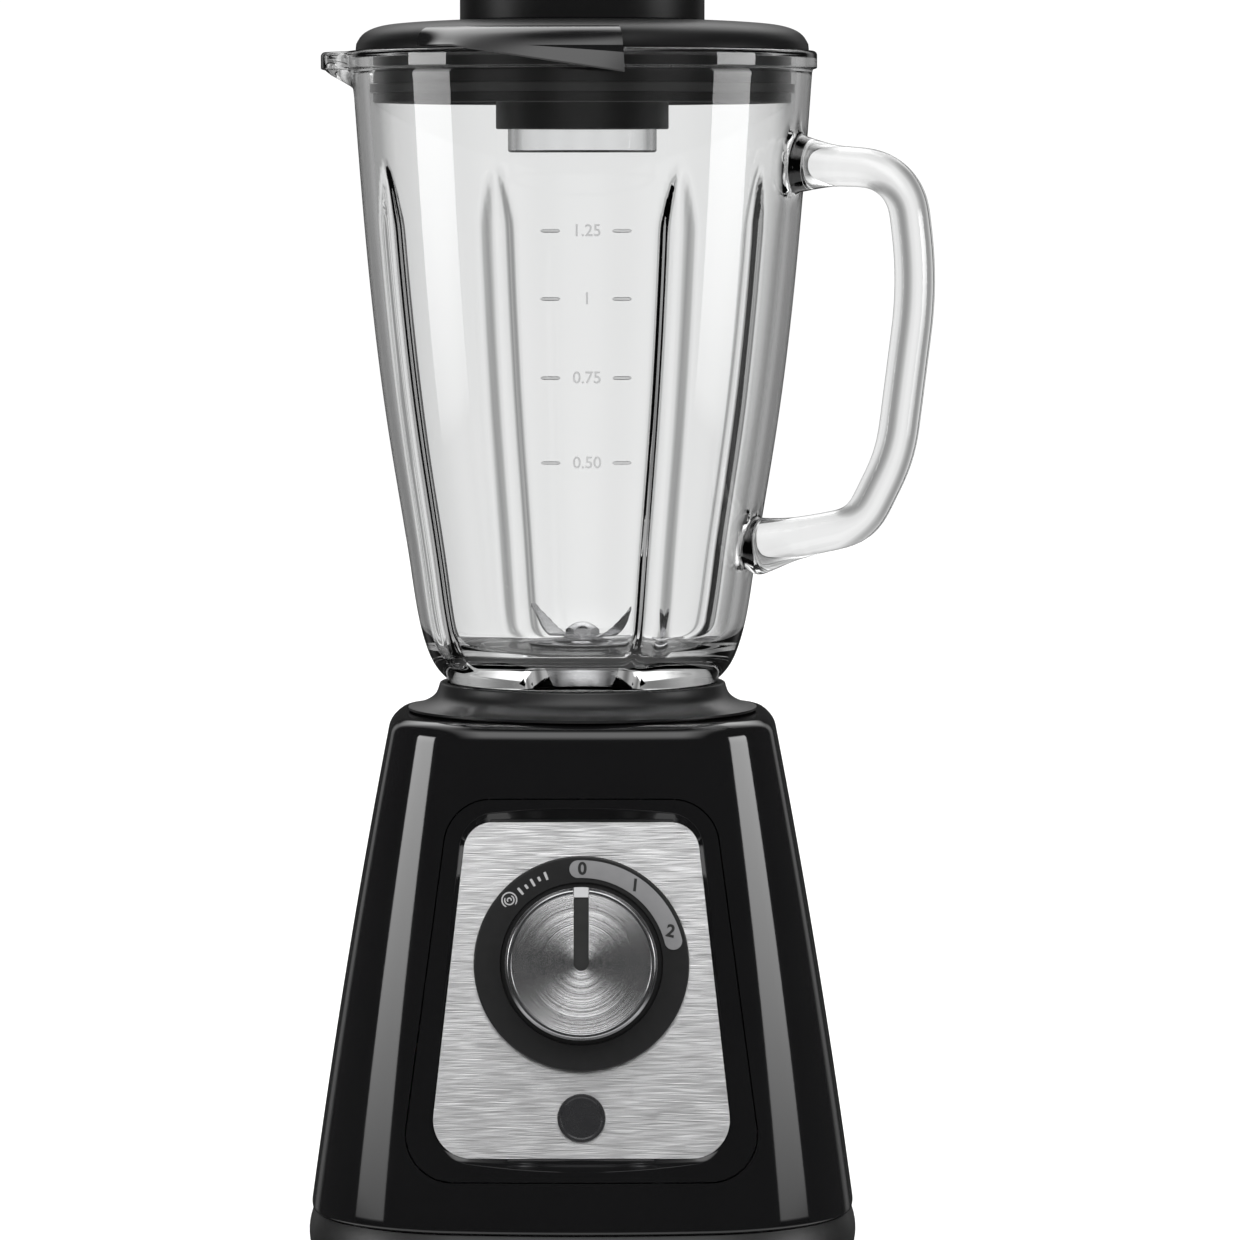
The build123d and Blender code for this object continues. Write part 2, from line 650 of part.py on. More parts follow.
def speed_switch():
    back = -BEZEL_DEPTH - BACKING_WALL
    body = block(-SWITCH_HALF, SWITCH_HALF, -SWITCH_HALF, SWITCH_HALF, back - SWITCH_DEPTH, back)
    body = fillet(body.edges().filter_by(Axis.Z), 3.0)
    body += disc(BUSH_RADIUS, back, DIAL_WELL_Z)
    for x in (-9.0, 0.0, 9.0):
        body += block(x - 2.4, x + 2.4, -SWITCH_HALF - 6, -SWITCH_HALF + 1, back - 8, back - 7.2)
    bore_foot = KNOB_TOP - KNOB_CROWN - SPINDLE_LENGTH - 0.3
    return on_panel(body - disc(SPINDLE_RADIUS + FIT, bore_foot, DIAL_WELL_Z))


# ---------------------------------------------------------------- jug seat
def seat_plate():
    seat = ring(SEAT_RADIUS, WELL_RADIUS, SEAT_FOOT_Z, SEAT_TOP_Z)
    seat += ring(SEAT_FLANGE, SEAT_RADIUS - 1, SEAT_FOOT_Z, CASING_TOP_Z - CASING_WALL)
    floor_low = WELL_FLOOR_Z - WELL_WALL
    seat += ring(WELL_RADIUS + WELL_WALL, WELL_RADIUS, floor_low, SEAT_FOOT_Z)
    seat += ring(WELL_RADIUS + WELL_WALL, HUB_BORE, floor_low, WELL_FLOOR_Z)
    seat += ring(HUB_BORE + WELL_WALL, HUB_BORE, floor_low - 5, WELL_FLOOR_Z + 3)
    boss = disc(SEAT_BOSS_RADIUS, SEAT_BOSS_FOOT_Z, SEAT_FOOT_Z + 0.5)
    boss -= disc(MOUNT_SCREW_RADIUS + SLIP, SEAT_BOSS_FOOT_Z, SEAT_BOSS_FOOT_Z + MOUNT_SCREW_REACH + 3)
    seat += corners(boss, MOUNT_X, MOUNT_Y)
    lug = ring(LUG_OUTER, LUG_INNER, SEAT_TOP_Z - 1, SEAT_TOP_Z + LUG_HEIGHT)
    seat += around(lug & wedge(LUG_HALF_ANGLE, SEAT_TOP_Z - 1, SEAT_TOP_Z + LUG_HEIGHT), 4)
    seat += block(-TOWER_HALF, TOWER_HALF, TOWER_FRONT_Y, TOWER_BACK_Y, TOWER_FOOT_Z, SEAT_FOOT_Z + 1)
    seat += block(-6, 6, PIN_Y - 4, TOWER_FRONT_Y + 1, SHELF_Z, SHELF_Z + SHELF_THICKNESS)
    return seat - disc(PIN_RADIUS + FIT, SHELF_Z - 1, SEAT_TOP_Z + 1, 0, PIN_Y)


def interlock_pin():
    pin = disc(PIN_RADIUS, PIN_FOOT_Z, SEAT_TOP_Z - PIN_TOP_GAP, 0, PIN_Y)
    pin = fillet(pin.faces().sort_by(Axis.Z)[-1].edges(), 0.8)
    return pin + disc(PIN_FLANGE_RADIUS, PIN_FLANGE_Z, PIN_FLANGE_Z + PIN_FLANGE_THICKNESS, 0, PIN_Y)


def coil_profile(inner, wire, length):
    """The (r, z) outline of a close-wound spring: one bump of wire for each turn."""
    turns = int(length / (2 * wire))
    pitch = length / turns
    edges = []
    for i in range(turns):
        low = (inner + wire, pitch * i)
        high = (inner + wire, pitch * (i + 1))
        edges.append(ThreePointArc(low, (inner + 2 * wire, pitch * (i + 0.5)), high))
    edges.append(Polyline((inner + wire, length), (inner, length), (inner, 0), (inner + wire, 0)))
    return edges


def interlock_spring():
    low = SHELF_Z + SHELF_THICKNESS
    spring = turned(coil_profile(PIN_RADIUS + 0.4, 0.5, PIN_FLANGE_Z - low))
    return Pos(0, PIN_Y, low) * spring


def interlock_switch():
    low = MICRO_TOP_Z - MICRO_HEIGHT
    back = TOWER_FRONT_Y
    body = block(-MICRO_HALF, MICRO_HALF, back - MICRO_DEPTH, back, low, MICRO_TOP_Z - 1.2)
    body += disc(1.6, MICRO_TOP_Z - 2, MICRO_TOP_Z, 0, PIN_Y)
    for x in (-6.0, 6.0):
        body += block(x - 1.2, x + 1.2, back - 6, back - 5.4, low - 5, low + 1)
    return body


# ---------------------------------------------------------------- motor
def motor_coupling():
    tooth = ring(TOOTH_OUTER, TOOTH_INNER, MOTOR_DISC_TOP - 1, MOTOR_DISC_TOP + TOOTH_HEIGHT)
    tooth &= wedge(TOOTH_HALF_ANGLE, MOTOR_DISC_TOP - 1, MOTOR_DISC_TOP + TOOTH_HEIGHT)
    wheel = disc(COUPLING_RADIUS, MOTOR_DISC_Z, MOTOR_DISC_TOP)
    wheel += disc(HUB_RADIUS, WELL_FLOOR_Z + 4, MOTOR_DISC_TOP + 4.5)
    wheel += around(tooth, COUPLING_TEETH, 180 / COUPLING_TEETH)
    return wheel - disc(SHAFT_RADIUS, WELL_FLOOR_Z, SHAFT_TOP_Z)


def jug_coupling():
    low = JUG_DISC_Z - TOOTH_HEIGHT
    tooth = ring(TOOTH_OUTER, TOOTH_INNER, low, JUG_DISC_Z + 1)
    tooth &= wedge(TOOTH_HALF_ANGLE, low, JUG_DISC_Z + 1)
    wheel = disc(COUPLING_RADIUS, JUG_DISC_Z, JUG_DISC_TOP)
    wheel += disc(HUB_RADIUS, JUG_DISC_Z - 3, JUG_DISC_Z)
    wheel += around(tooth, COUPLING_TEETH)
    return wheel - disc(BLADE_SHAFT_RADIUS, JUG_DISC_Z - 3, JUG_DISC_TOP)


def motor_shaft():
    return disc(SHAFT_RADIUS, SHAFT_FOOT_Z, SHAFT_TOP_Z)


def armature_slot(low, high, gap):
    return block(SLOT_FLOOR - gap, ARMATURE_RADIUS + 1, -SLOT_WIDTH / 2 - gap, SLOT_WIDTH / 2 + gap, low, high)


def armature_core():
    core = ring(ARMATURE_RADIUS, SHAFT_RADIUS, CORE_Z, CORE_TOP_Z)
    return core - around(armature_slot(CORE_Z, CORE_TOP_Z, 0.0), ARMATURE_SLOTS)


def armature_windings():
    end = ring(WINDING_RADIUS, WINDING_INNER, 0, WINDING_HEIGHT)
    end = fillet(end.edges().filter_by(GeomType.CIRCLE), 2.5)
    bar = armature_slot(CORE_Z - 3, CORE_TOP_Z + 3, -SLIP) & disc(ARMATURE_RADIUS - 1, CORE_Z - 3, CORE_TOP_Z + 3)
    bar &= disc(WINDING_RADIUS - 3, CORE_Z - 3, CORE_TOP_Z + 3)
    windings = Pos(0, 0, CORE_Z - WINDING_HEIGHT) * end + Pos(0, 0, CORE_TOP_Z) * end
    return windings + around(bar, ARMATURE_SLOTS)


def commutator():
    drum = ring(COMMUTATOR_RADIUS, SHAFT_RADIUS, COMMUTATOR_Z, COMMUTATOR_Z + COMMUTATOR_HEIGHT)
    groove = block(COMMUTATOR_RADIUS - 1, COMMUTATOR_RADIUS + 1, -0.25, 0.25, 0, 100)
    return drum - around(groove, COMMUTATOR_BARS)


def cooling_fan():
    hub = ring(FAN_HUB, SHAFT_RADIUS, FAN_Z, FAN_Z + FAN_HEIGHT + 1.5)
    plate = ring(FAN_RADIUS, SHAFT_RADIUS, FAN_Z + FAN_HEIGHT, FAN_Z + FAN_HEIGHT + 1.5)
    half = FAN_BLADE_THICKNESS / 2
    vane = Pos(FAN_HUB - 1, 0, 0) * Rot(0, 0, FAN_SWEEP) * block(0, FAN_RADIUS, -half, half, FAN_Z, FAN_Z + FAN_HEIGHT)
    vane &= disc(FAN_RADIUS, FAN_Z, FAN_Z + FAN_HEIGHT)
    vane -= disc(FAN_HUB - 2, FAN_Z, FAN_Z + FAN_HEIGHT)
    return hub + plate + around(vane, FAN_BLADES)


def fan_shroud():
    wall = ring(SHROUD_INNER + SHROUD_WALL, SHROUD_INNER, TRAY_FLOOR_Z, SHROUD_TOP_Z)
    return wall + ring(SHROUD_INNER + 6, SHROUD_INNER, SHROUD_TOP_Z - 2, SHROUD_TOP_Z)


def stator_core():
    yoke = block(-CORE_HALF_X, CORE_HALF_X, -CORE_HALF_Y, CORE_HALF_Y, CORE_Z, CORE_TOP_Z)
    yoke = fillet(yoke.edges().filter_by(Axis.Z), CORE_CORNER)
    yoke -= disc(ARMATURE_RADIUS + AIR_GAP, CORE_Z, CORE_TOP_Z)
    window = block(0, WINDOW_WIDTH, 0, WINDOW_LENGTH, CORE_Z, CORE_TOP_Z)
    yoke -= four_ways(Pos(WINDOW_X, WINDOW_Y, 0) * window)
    return yoke - corners(disc(FRAME_SCREW_RADIUS + SLIP, CORE_Z, CORE_TOP_Z), FRAME_SCREW_X, FRAME_SCREW_Y)


def field_coils():
    gap = 0.3
    x0 = WINDOW_X + gap
    x1 = WINDOW_X + WINDOW_WIDTH - gap
    outer_y = WINDOW_Y + WINDOW_LENGTH - gap
    inner_y = WINDOW_Y + gap
    loop = block(x0, x1, -outer_y, outer_y, CORE_Z - COIL_OVERHANG, CORE_TOP_Z + COIL_OVERHANG)
    loop -= block(x0, x1, -inner_y, inner_y, CORE_Z - gap, CORE_TOP_Z + gap)
    loop = fillet(loop.edges().filter_by(Axis.X).group_by(Axis.Z)[0], 4.0)
    loop = fillet(loop.edges().filter_by(Axis.X).group_by(Axis.Z)[-1], 4.0)
    return loop + mirror(loop, Plane.YZ)


def bracket_posts(low, high):
    """Four hollow posts that stand between a bracket and the stator core."""
    post = ring(FRAME_POST_RADIUS, FRAME_SCREW_RADIUS + SLIP, low, high)
    return corners(post, FRAME_SCREW_X, FRAME_SCREW_Y)


def upper_bracket():
    top = UPPER_PLATE_Z + PLATE
    x = MOUNT_X + MOUNT_OUTER
    y = MOUNT_Y + MOUNT_OUTER
    plate = block(-x, x, -y, y, UPPER_PLATE_Z, top)
    x = FRAME_SCREW_X + FRAME_POST_RADIUS
    y = FRAME_SCREW_Y + FRAME_POST_RADIUS
    plate += block(-x, x, -y, y, UPPER_PLATE_Z, top)
    plate += bracket_posts(CORE_TOP_Z, UPPER_PLATE_Z + 1)
    plate += disc(BEARING_OUTER + CUP_WALL, UPPER_CUP_Z, top)
    plate -= disc(CUP_LIP_RADIUS, UPPER_CUP_Z, top)
    plate -= disc(BEARING_OUTER, UPPER_CUP_Z + CUP_LIP, top)
    plate -= corners(disc(MOUNT_SCREW_RADIUS + SLIP, UPPER_PLATE_Z, top), MOUNT_X, MOUNT_Y)
    return plate - corners(disc(FRAME_SCREW_RADIUS + SLIP, CORE_TOP_Z, top), FRAME_SCREW_X, FRAME_SCREW_Y)


def lower_bracket():
    x = FRAME_SCREW_X + FRAME_POST_RADIUS
    y = FRAME_SCREW_Y + FRAME_POST_RADIUS
    top = LOWER_PLATE_Z + PLATE
    plate = fillet(block(-x, x, -y, y, LOWER_PLATE_Z, top).edges().filter_by(Axis.Z), FRAME_POST_RADIUS)
    plate -= around(disc(6.0, LOWER_PLATE_Z, top, 24.0, 0), 2, 90)
    plate += bracket_posts(top - 1, CORE_Z)
    plate += disc(BEARING_OUTER + CUP_WALL, LOWER_CUP_Z, top)
    plate -= disc(CUP_LIP_RADIUS, LOWER_CUP_Z, top)
    plate -= disc(BEARING_OUTER, LOWER_CUP_Z + CUP_LIP, top)
    return plate - corners(disc(FRAME_SCREW_RADIUS + SLIP, LOWER_PLATE_Z, CORE_Z), FRAME_SCREW_X, FRAME_SCREW_Y)


def bearing(low):
    """A ball bearing with a groove between its races and shields."""
    high = low + BEARING_HEIGHT
    body = ring(BEARING_OUTER, SHAFT_RADIUS + FIT, low, high)
    groove = ring(BEARING_OUTER - BEARING_RACE, SHAFT_RADIUS + BEARING_RACE, 0, 0.8)
    return body - Pos(0, 0, low) * groove - Pos(0, 0, high - 0.8) * groove


def frame_screws():
    top = UPPER_PLATE_Z + PLATE
    screw = disc(FRAME_SCREW_RADIUS, LOWER_PLATE_Z, top)
    screw += disc(FRAME_SCREW_HEAD, LOWER_PLATE_Z - 2.5, LOWER_PLATE_Z)
    return Part() + corners(screw, FRAME_SCREW_X, FRAME_SCREW_Y)


def two_sides(shape):
    """A shape and its image half a turn round."""
    return Part() + around(shape, 2)


HOLDER_Z = LOWER_PLATE_Z + PLATE
BRUSH_Z0 = HOLDER_Z + HOLDER_WALL
BRUSH_Z1 = HOLDER_Z + HOLDER_HEIGHT - HOLDER_WALL
BRUSH_HALF_Y = HOLDER_HALF_Y - HOLDER_WALL


def brush_holders():
    holder_top = HOLDER_Z + HOLDER_HEIGHT
    tube = block(HOLDER_INNER_X, HOLDER_OUTER_X, -HOLDER_HALF_Y, HOLDER_HALF_Y, HOLDER_Z, holder_top)
    tube -= block(HOLDER_INNER_X, HOLDER_OUTER_X - 1.5, -BRUSH_HALF_Y, BRUSH_HALF_Y, BRUSH_Z0, BRUSH_Z1)
    return two_sides(tube)


def carbon_brushes():
    side = BRUSH_HALF_Y - SLIP
    brush = block(COMMUTATOR_RADIUS - 1, BRUSH_TAIL_X, -side, side, BRUSH_Z0 + SLIP, BRUSH_Z1 - SLIP)
    return two_sides(brush - disc(COMMUTATOR_RADIUS + BRUSH_GAP, 0, 100))


def brush_springs():
    length = HOLDER_OUTER_X - 1.5 - BRUSH_TAIL_X
    spring = turned(coil_profile(2.0, SPRING_WIRE, length))
    return two_sides(Pos(BRUSH_TAIL_X, 0, (BRUSH_Z0 + BRUSH_Z1) / 2) * Rot(0, 90, 0) * spring)


def motor_mounts():
    block_ring = ring(MOUNT_OUTER, MOUNT_SCREW_RADIUS + SLIP, UPPER_PLATE_Z + PLATE, SEAT_BOSS_FOOT_Z)
    waist = ring(MOUNT_OUTER + 1, MOUNT_OUTER - 1.2, SEAT_BOSS_FOOT_Z - 7, SEAT_BOSS_FOOT_Z - 3)
    return Part() + corners(block_ring - waist, MOUNT_X, MOUNT_Y)


def mount_screws():
    screw = disc(MOUNT_SCREW_RADIUS, UPPER_PLATE_Z, SEAT_BOSS_FOOT_Z + MOUNT_SCREW_REACH)
    screw += disc(MOUNT_SCREW_HEAD, UPPER_PLATE_Z - 2.8, UPPER_PLATE_Z)
    return Part() + corners(screw, MOUNT_X, MOUNT_Y)


def circuit_board():
    half = BOARD_THICKNESS / 2
    top = BOARD_FOOT_Z + BOARD_HEIGHT
    board = block(BOARD_X - half, BOARD_X + half, -BOARD_HALF_Y, BOARD_HALF_Y, BOARD_FOOT_Z, top)
    board += block(BOARD_X + half, BOARD_X + half + 8, 12, 22, BOARD_FOOT_Z + 30, BOARD_FOOT_Z + 44)
    return board + block(BOARD_X + half, BOARD_X + half + 9, -22, -12, BOARD_FOOT_Z + 14, BOARD_FOOT_Z + 40)


def filter_capacitor():
    x = BOARD_X + BOARD_THICKNESS / 2
    body = block(x, x + 9, -8, 8, BOARD_FOOT_Z + 22, BOARD_FOOT_Z + 40)
    return fillet(body.edges().filter_by(Axis.X), 1.0)


# ---------------------------------------------------------------- jug
def flank(inset, ease=0.0):
    """The jug's side drawn in by inset, and by a further ease at its foot that fades to the ribs' top."""
    foot_z = JUG_FLANK[0][1]
    points = []
    for radius, z in JUG_FLANK:
        fade = max(0.0, 1 - (z - foot_z) / (RIB_TOP_Z - foot_z))
        points.append((radius - inset - ease * fade, z))
    return points


def jug_outer():
    side = flank(0.0)
    edges = [
        Polyline((0, JUG_FOOT_Z), (JUG_FOOT_RADIUS, JUG_FOOT_Z), (JUG_FOOT_RADIUS, JUG_NECK[0][1] - 0.6), JUG_NECK[0]),
        Spline(JUG_NECK[0], JUG_NECK[1], *side),
        Polyline(side[-1], (side[-1][0] + 0.2, RIM_FOOT_Z - 0.6), (RIM_RADIUS, RIM_FOOT_Z)),
        Polyline((RIM_RADIUS, RIM_FOOT_Z), (RIM_RADIUS, RIM_Z - 0.8), (RIM_RADIUS - 0.8, RIM_Z), (0, RIM_Z)),
        Line((0, RIM_Z), (0, JUG_FOOT_Z)),
    ]
    return turned(edges)


def jug_cavity():
    side = [(r, z) for r, z in flank(JUG_WALL) if z > JUG_HEEL_Z]
    heel = (JUG_FLANK[0][0] - JUG_WALL + 1.2, JUG_HEEL_Z)
    top = RIM_Z + 1
    edges = [
        Polyline((0, top), (0, JUG_FLOOR_Z), (JUG_FLOOR_FLAT, JUG_FLOOR_Z)),
        Spline((JUG_FLOOR_FLAT, JUG_FLOOR_Z), heel, *side, tangents=((1, 0), (0.08, 1))),
        Polyline(side[-1], (RIM_INNER - 1.0, RIM_Z - 1.5), (RIM_INNER, RIM_Z), (RIM_INNER, top), (0, top)),
    ]
    return turned(edges)


def jug_ribs():
    """Four upright ribs inside the wall, deepest at the floor and fading out near the top."""
    inner = [(r, z) for r, z in flank(JUG_WALL, RIB_DEPTH) if z < RIB_TOP_Z]
    middle = [(r, z) for r, z in flank(JUG_WALL / 2) if z < RIB_TOP_Z]
    tip = (RIB_TOP_RADIUS - JUG_WALL, RIB_TOP_Z)
    edges = [
        Spline(*inner, tip),
        Line(tip, (RIB_TOP_RADIUS - JUG_WALL / 2, RIB_TOP_Z)),
        Polyline((RIB_TOP_RADIUS - JUG_WALL / 2, RIB_TOP_Z), *reversed(middle)),
        Polyline(middle[0], (JUG_FLOOR_FLAT, JUG_FLOOR_Z - 2), (inner[0][0] - 4, JUG_FLOOR_Z - 1), inner[0]),
    ]
    band = turned(edges)
    return [band & slab for slab in around(block(20, 80, -RIB_WIDTH / 2, RIB_WIDTH / 2, 180, 360), 4, 45)]


def handle():
    path = Plane.XZ * FilletPolyline(*HANDLE_ROUTE, radius=HANDLE_BENDS)
    start = Plane(origin=path @ 0, x_dir=(0, 1, 0), z_dir=path % 0)
    section = start * Ellipse(HANDLE_WIDTH / 2, HANDLE_DEPTH / 2)
    grip = sweep(section, path=path)
    root = Cone(HANDLE_ROOT, HANDLE_DEPTH / 2, HANDLE_ROOT_LENGTH, align=(Align.CENTER, Align.CENTER, Align.MIN))
    grip += Plane(origin=path @ 0, z_dir=path % 0) * root
    return grip + Plane(origin=path @ 1, z_dir=-(path % 1)) * root


def spout(inset, raise_by):
    """The pouring beak towards -X, as a solid drawn in by inset with its underside raised."""
    angle = radians(SPOUT_HALF_ANGLE)
    tip_round = SPOUT_TIP_ROUND - inset
    apex = SPOUT_TIP - inset - tip_round + tip_round / sin(angle)
    back = 45.0
    half = (apex - back) * sin(angle) / cos(angle)
    plan = make_face(Polyline((-back, -half), (-back, half), (-apex, 0), close=True))
    plan = fillet(plan.vertices().sort_by(Axis.X)[0], tip_round)
    prism = Pos(0, 0, SPOUT_ROOT_Z - 20) * extrude(plan, 60)
    wall = JUG_FLANK[-1][0]
    top = SPOUT_TOP_Z + (20 if inset else 0)
    side = [
        (-back, SPOUT_ROOT_Z - 4 + raise_by),
        (-wall + 1, SPOUT_ROOT_Z + raise_by),
        (-SPOUT_TIP, SPOUT_TOP_Z - SPOUT_LIP + raise_by * 0.8),
        (-SPOUT_TIP, top),
        (-back, top),
    ]
    profile = extrude(Plane.XZ * make_face(Polyline(*side, close=True)), 60, both=True)
    return prism & profile


def glass_jug():
    jug = jug_outer() + handle() + spout(0.0, 0.0)
    jug -= jug_cavity()
    jug -= spout(SPOUT_LIP, SPOUT_LIP)
    jug += jug_ribs()
    jug -= disc(JUG_FOOT_INNER, JUG_FOOT_Z, JUG_FLOOR_Z - FLOOR_THICKNESS)
    jug -= disc(CARRIER_HUB + 0.5, JUG_FOOT_Z, JUG_FLOOR_Z + 1)
    return Rot(0, 0, JUG_TURN) * jug


def jug_collar():
    edges = [
        Polyline((COLLAR_FLANGE_INNER, SEAT_TOP_Z), (COLLAR_FOOT - 0.6, SEAT_TOP_Z), (COLLAR_FOOT, SEAT_TOP_Z + 0.7)),
        Spline((COLLAR_FOOT, SEAT_TOP_Z + 0.7), (50.0, 181.4), (47.0, 183.8), (45.9, 186.4), (COLLAR_LIP, 187.2)),
        Polyline((COLLAR_LIP, 187.2), (COLLAR_LIP - 0.8, COLLAR_LIP_Z), (COLLAR_BORE, COLLAR_LIP_Z)),
        Polyline((COLLAR_BORE, COLLAR_LIP_Z), (COLLAR_BORE, JUG_FOOT_Z), (COLLAR_FLANGE_INNER, JUG_FOOT_Z)),
        Line((COLLAR_FLANGE_INNER, JUG_FOOT_Z), (COLLAR_FLANGE_INNER, SEAT_TOP_Z)),
    ]
    collar = turned(edges)
    notch = disc(LUG_OUTER + 0.6, SEAT_TOP_Z, JUG_FOOT_Z) & wedge(LUG_HALF_ANGLE + 1.5, SEAT_TOP_Z, JUG_FOOT_Z)
    return collar - around(notch, 4)


GASKET_TOP = JUG_FLOOR_Z + GASKET_THICKNESS
FLANGE_TOP = GASKET_TOP + CARRIER_FLANGE_THICKNESS
DOME_TOP = FLANGE_TOP + CARRIER_DOME_RISE


def blade_gasket():
    return ring(GASKET_RADIUS, CARRIER_HUB + SLIP, JUG_FLOOR_Z, GASKET_TOP)


def blade_carrier():
    shoulder = DOME_TOP - EYE_HEIGHT
    return turned([
        (CARRIER_BORE, CARRIER_FOOT_Z),
        (CARRIER_HUB, CARRIER_FOOT_Z),
        (CARRIER_HUB, GASKET_TOP),
        (CARRIER_FLANGE, GASKET_TOP),
        (CARRIER_FLANGE, FLANGE_TOP - 0.6),
        (CARRIER_FLANGE - 0.8, FLANGE_TOP),
        (CARRIER_DOME + 1.5, FLANGE_TOP),
        (CARRIER_DOME, DOME_TOP),
        (CARRIER_EYE, DOME_TOP),
        (CARRIER_EYE, shoulder),
        (CARRIER_BORE, shoulder),
    ])


def carrier_nut():
    high = JUG_FLOOR_Z - FLOOR_THICKNESS
    low = CARRIER_FOOT_Z + 0.2
    nut = Pos(0, 0, low) * extrude(RegularPolygon(CARRIER_NUT, 6), high - low)
    return nut - disc(CARRIER_HUB + SLIP, low, high)


def blade_bush():
    return ring(CARRIER_BORE - 0.02, BLADE_SHAFT_RADIUS + FIT, CARRIER_FOOT_Z + 0.5, GASKET_TOP)


def shaft_seal():
    return ring(CARRIER_BORE - SLIP, BLADE_SHAFT_RADIUS + FIT, GASKET_TOP + SLIP, DOME_TOP - EYE_HEIGHT - SLIP)


LOWER_BLADE_Z = DOME_TOP + BLADE_GAP
SPACER_Z = LOWER_BLADE_Z + BLADE_THICKNESS
UPPER_BLADE_Z = SPACER_Z + SPACER_THICKNESS
CAP_NUT_Z = UPPER_BLADE_Z + BLADE_THICKNESS


def blade_shaft():
    shaft = disc(BLADE_SHAFT_RADIUS, JUG_DISC_Z - 2, LOWER_BLADE_Z)
    return shaft + disc(BLADE_STUD_RADIUS, LOWER_BLADE_Z, CAP_NUT_Z + CAP_NUT_HEIGHT - 1.5)


def thrust_washer():
    return ring(HUB_RADIUS - 0.5, BLADE_SHAFT_RADIUS + SLIP, JUG_DISC_TOP, JUG_DISC_TOP + 0.4)


def blade(z, reach, rise, turn):
    """A two-armed blade: a flat hub with arms that taper and bend by rise at their tips."""
    strip = [
        (0, z), (ARM_FLAT, z), (reach, z + rise), (reach, z + rise + BLADE_THICKNESS),
        (ARM_FLAT - (0.6 if rise > 3 else 0.0), z + BLADE_THICKNESS), (0, z + BLADE_THICKNESS),
    ]
    bent = extrude(Plane.XZ * make_face(Polyline(*strip, close=True)), 20, both=True)
    plan = [(0, -ARM_ROOT_HALF), (ARM_FLAT, -ARM_ROOT_HALF), (reach, -ARM_TIP_HALF), (reach, ARM_TIP_HALF * 0.2),
            (ARM_FLAT, ARM_ROOT_HALF), (0, ARM_ROOT_HALF)]
    arm = bent & Pos(0, 0, z - 20) * extrude(make_face(Polyline(*plan, close=True)), 60)
    hub = disc(BLADE_HUB, z, z + BLADE_THICKNESS)
    body = hub + around(arm, 2)
    return Rot(0, 0, turn) * (body - disc(BLADE_STUD_RADIUS + SLIP, z - 1, z + 5))


def upper_blade():
    return blade(UPPER_BLADE_Z, UPPER_ARM_REACH, UPPER_ARM_RISE, UPPER_BLADE_TURN)


def lower_blade():
    return blade(LOWER_BLADE_Z, LOWER_ARM_REACH, -LOWER_ARM_DROP, LOWER_BLADE_TURN)


def blade_spacer():
    return ring(BLADE_HUB - 1, BLADE_STUD_RADIUS + SLIP, SPACER_Z, UPPER_BLADE_Z)


def blade_cap_nut():
    nut = Pos(0, 0, CAP_NUT_Z) * extrude(RegularPolygon(CAP_NUT_RADIUS, 6), CAP_NUT_HEIGHT)
    nut &= Pos(0, 0, CAP_NUT_Z - 2.5) * Sphere(CAP_NUT_HEIGHT + 2.5)
    return nut - disc(BLADE_STUD_RADIUS + SLIP, CAP_NUT_Z, CAP_NUT_Z + CAP_NUT_HEIGHT - 1.2)


# ---------------------------------------------------------------- lid and cap
def lid():
    crown = [(LID_FLAT, LID_TOP_Z), (58.4, 397.4), (67.1, 395.7), (70.4, 393.2), (LID_RADIUS, LID_SEAT_Z + 0.4)]
    edges = [
        Line((NECK_BORE, LID_TOP_Z), crown[0]),
        Spline(*crown, tangents=((1, 0), (0, -1))),
        Polyline(crown[-1], (LID_RADIUS, LID_SEAT_Z), (PLUG_RADIUS, LID_SEAT_Z), (PLUG_RADIUS, PLUG_FOOT_Z)),
        Polyline((PLUG_RADIUS, PLUG_FOOT_Z), (PLUG_RADIUS - PLUG_WALL, PLUG_FOOT_Z), (PLUG_RADIUS - PLUG_WALL, 391.5)),
        Polyline((PLUG_RADIUS - PLUG_WALL, 391.5), (58.4, 394.0), (LID_FLAT, LID_TOP_Z - LID_SKIN)),
        Polyline((LID_FLAT, LID_TOP_Z - LID_SKIN), (NECK_RADIUS, LID_TOP_Z - LID_SKIN), (NECK_RADIUS, NECK_FOOT_Z)),
        Polyline((NECK_RADIUS, NECK_FOOT_Z), (NECK_BORE, NECK_FOOT_Z), (NECK_BORE, LID_TOP_Z)),
    ]
    cover = turned(edges)
    cover -= ring(PLUG_RADIUS + 1, SEAL_INNER, SEAL_Z, SEAL_Z + SEAL_HEIGHT)
    return cover + lid_tab()


def lid_tab():
    """The thumb tab that wraps outside the rim and drops towards its end."""
    tab = ring(TAB_OUTER, TAB_INNER, TAB_FOOT_Z - 2, TAB_TOP_Z)
    tab += ring(TAB_OUTER, LID_RADIUS - 2.0, LID_SEAT_Z + 0.6, TAB_TOP_Z)
    middle = (TAB_START + TAB_END) / 2
    tab &= from_front(middle) * wedge((TAB_END - TAB_START) / 2, TAB_FOOT_Z - 5, TAB_TOP_Z, 120)
    x0 = TAB_OUTER * sin(radians(TAB_START))
    x1 = TAB_OUTER * sin(radians(TAB_END))
    under = [(x0, TAB_HIGH_Z), (x1 + 1, TAB_FOOT_Z), (x1 + 1, TAB_FOOT_Z - 9), (x0, TAB_FOOT_Z - 9)]
    return tab - extrude(Plane.XZ * make_face(Polyline(*under, close=True)), 100, both=True)


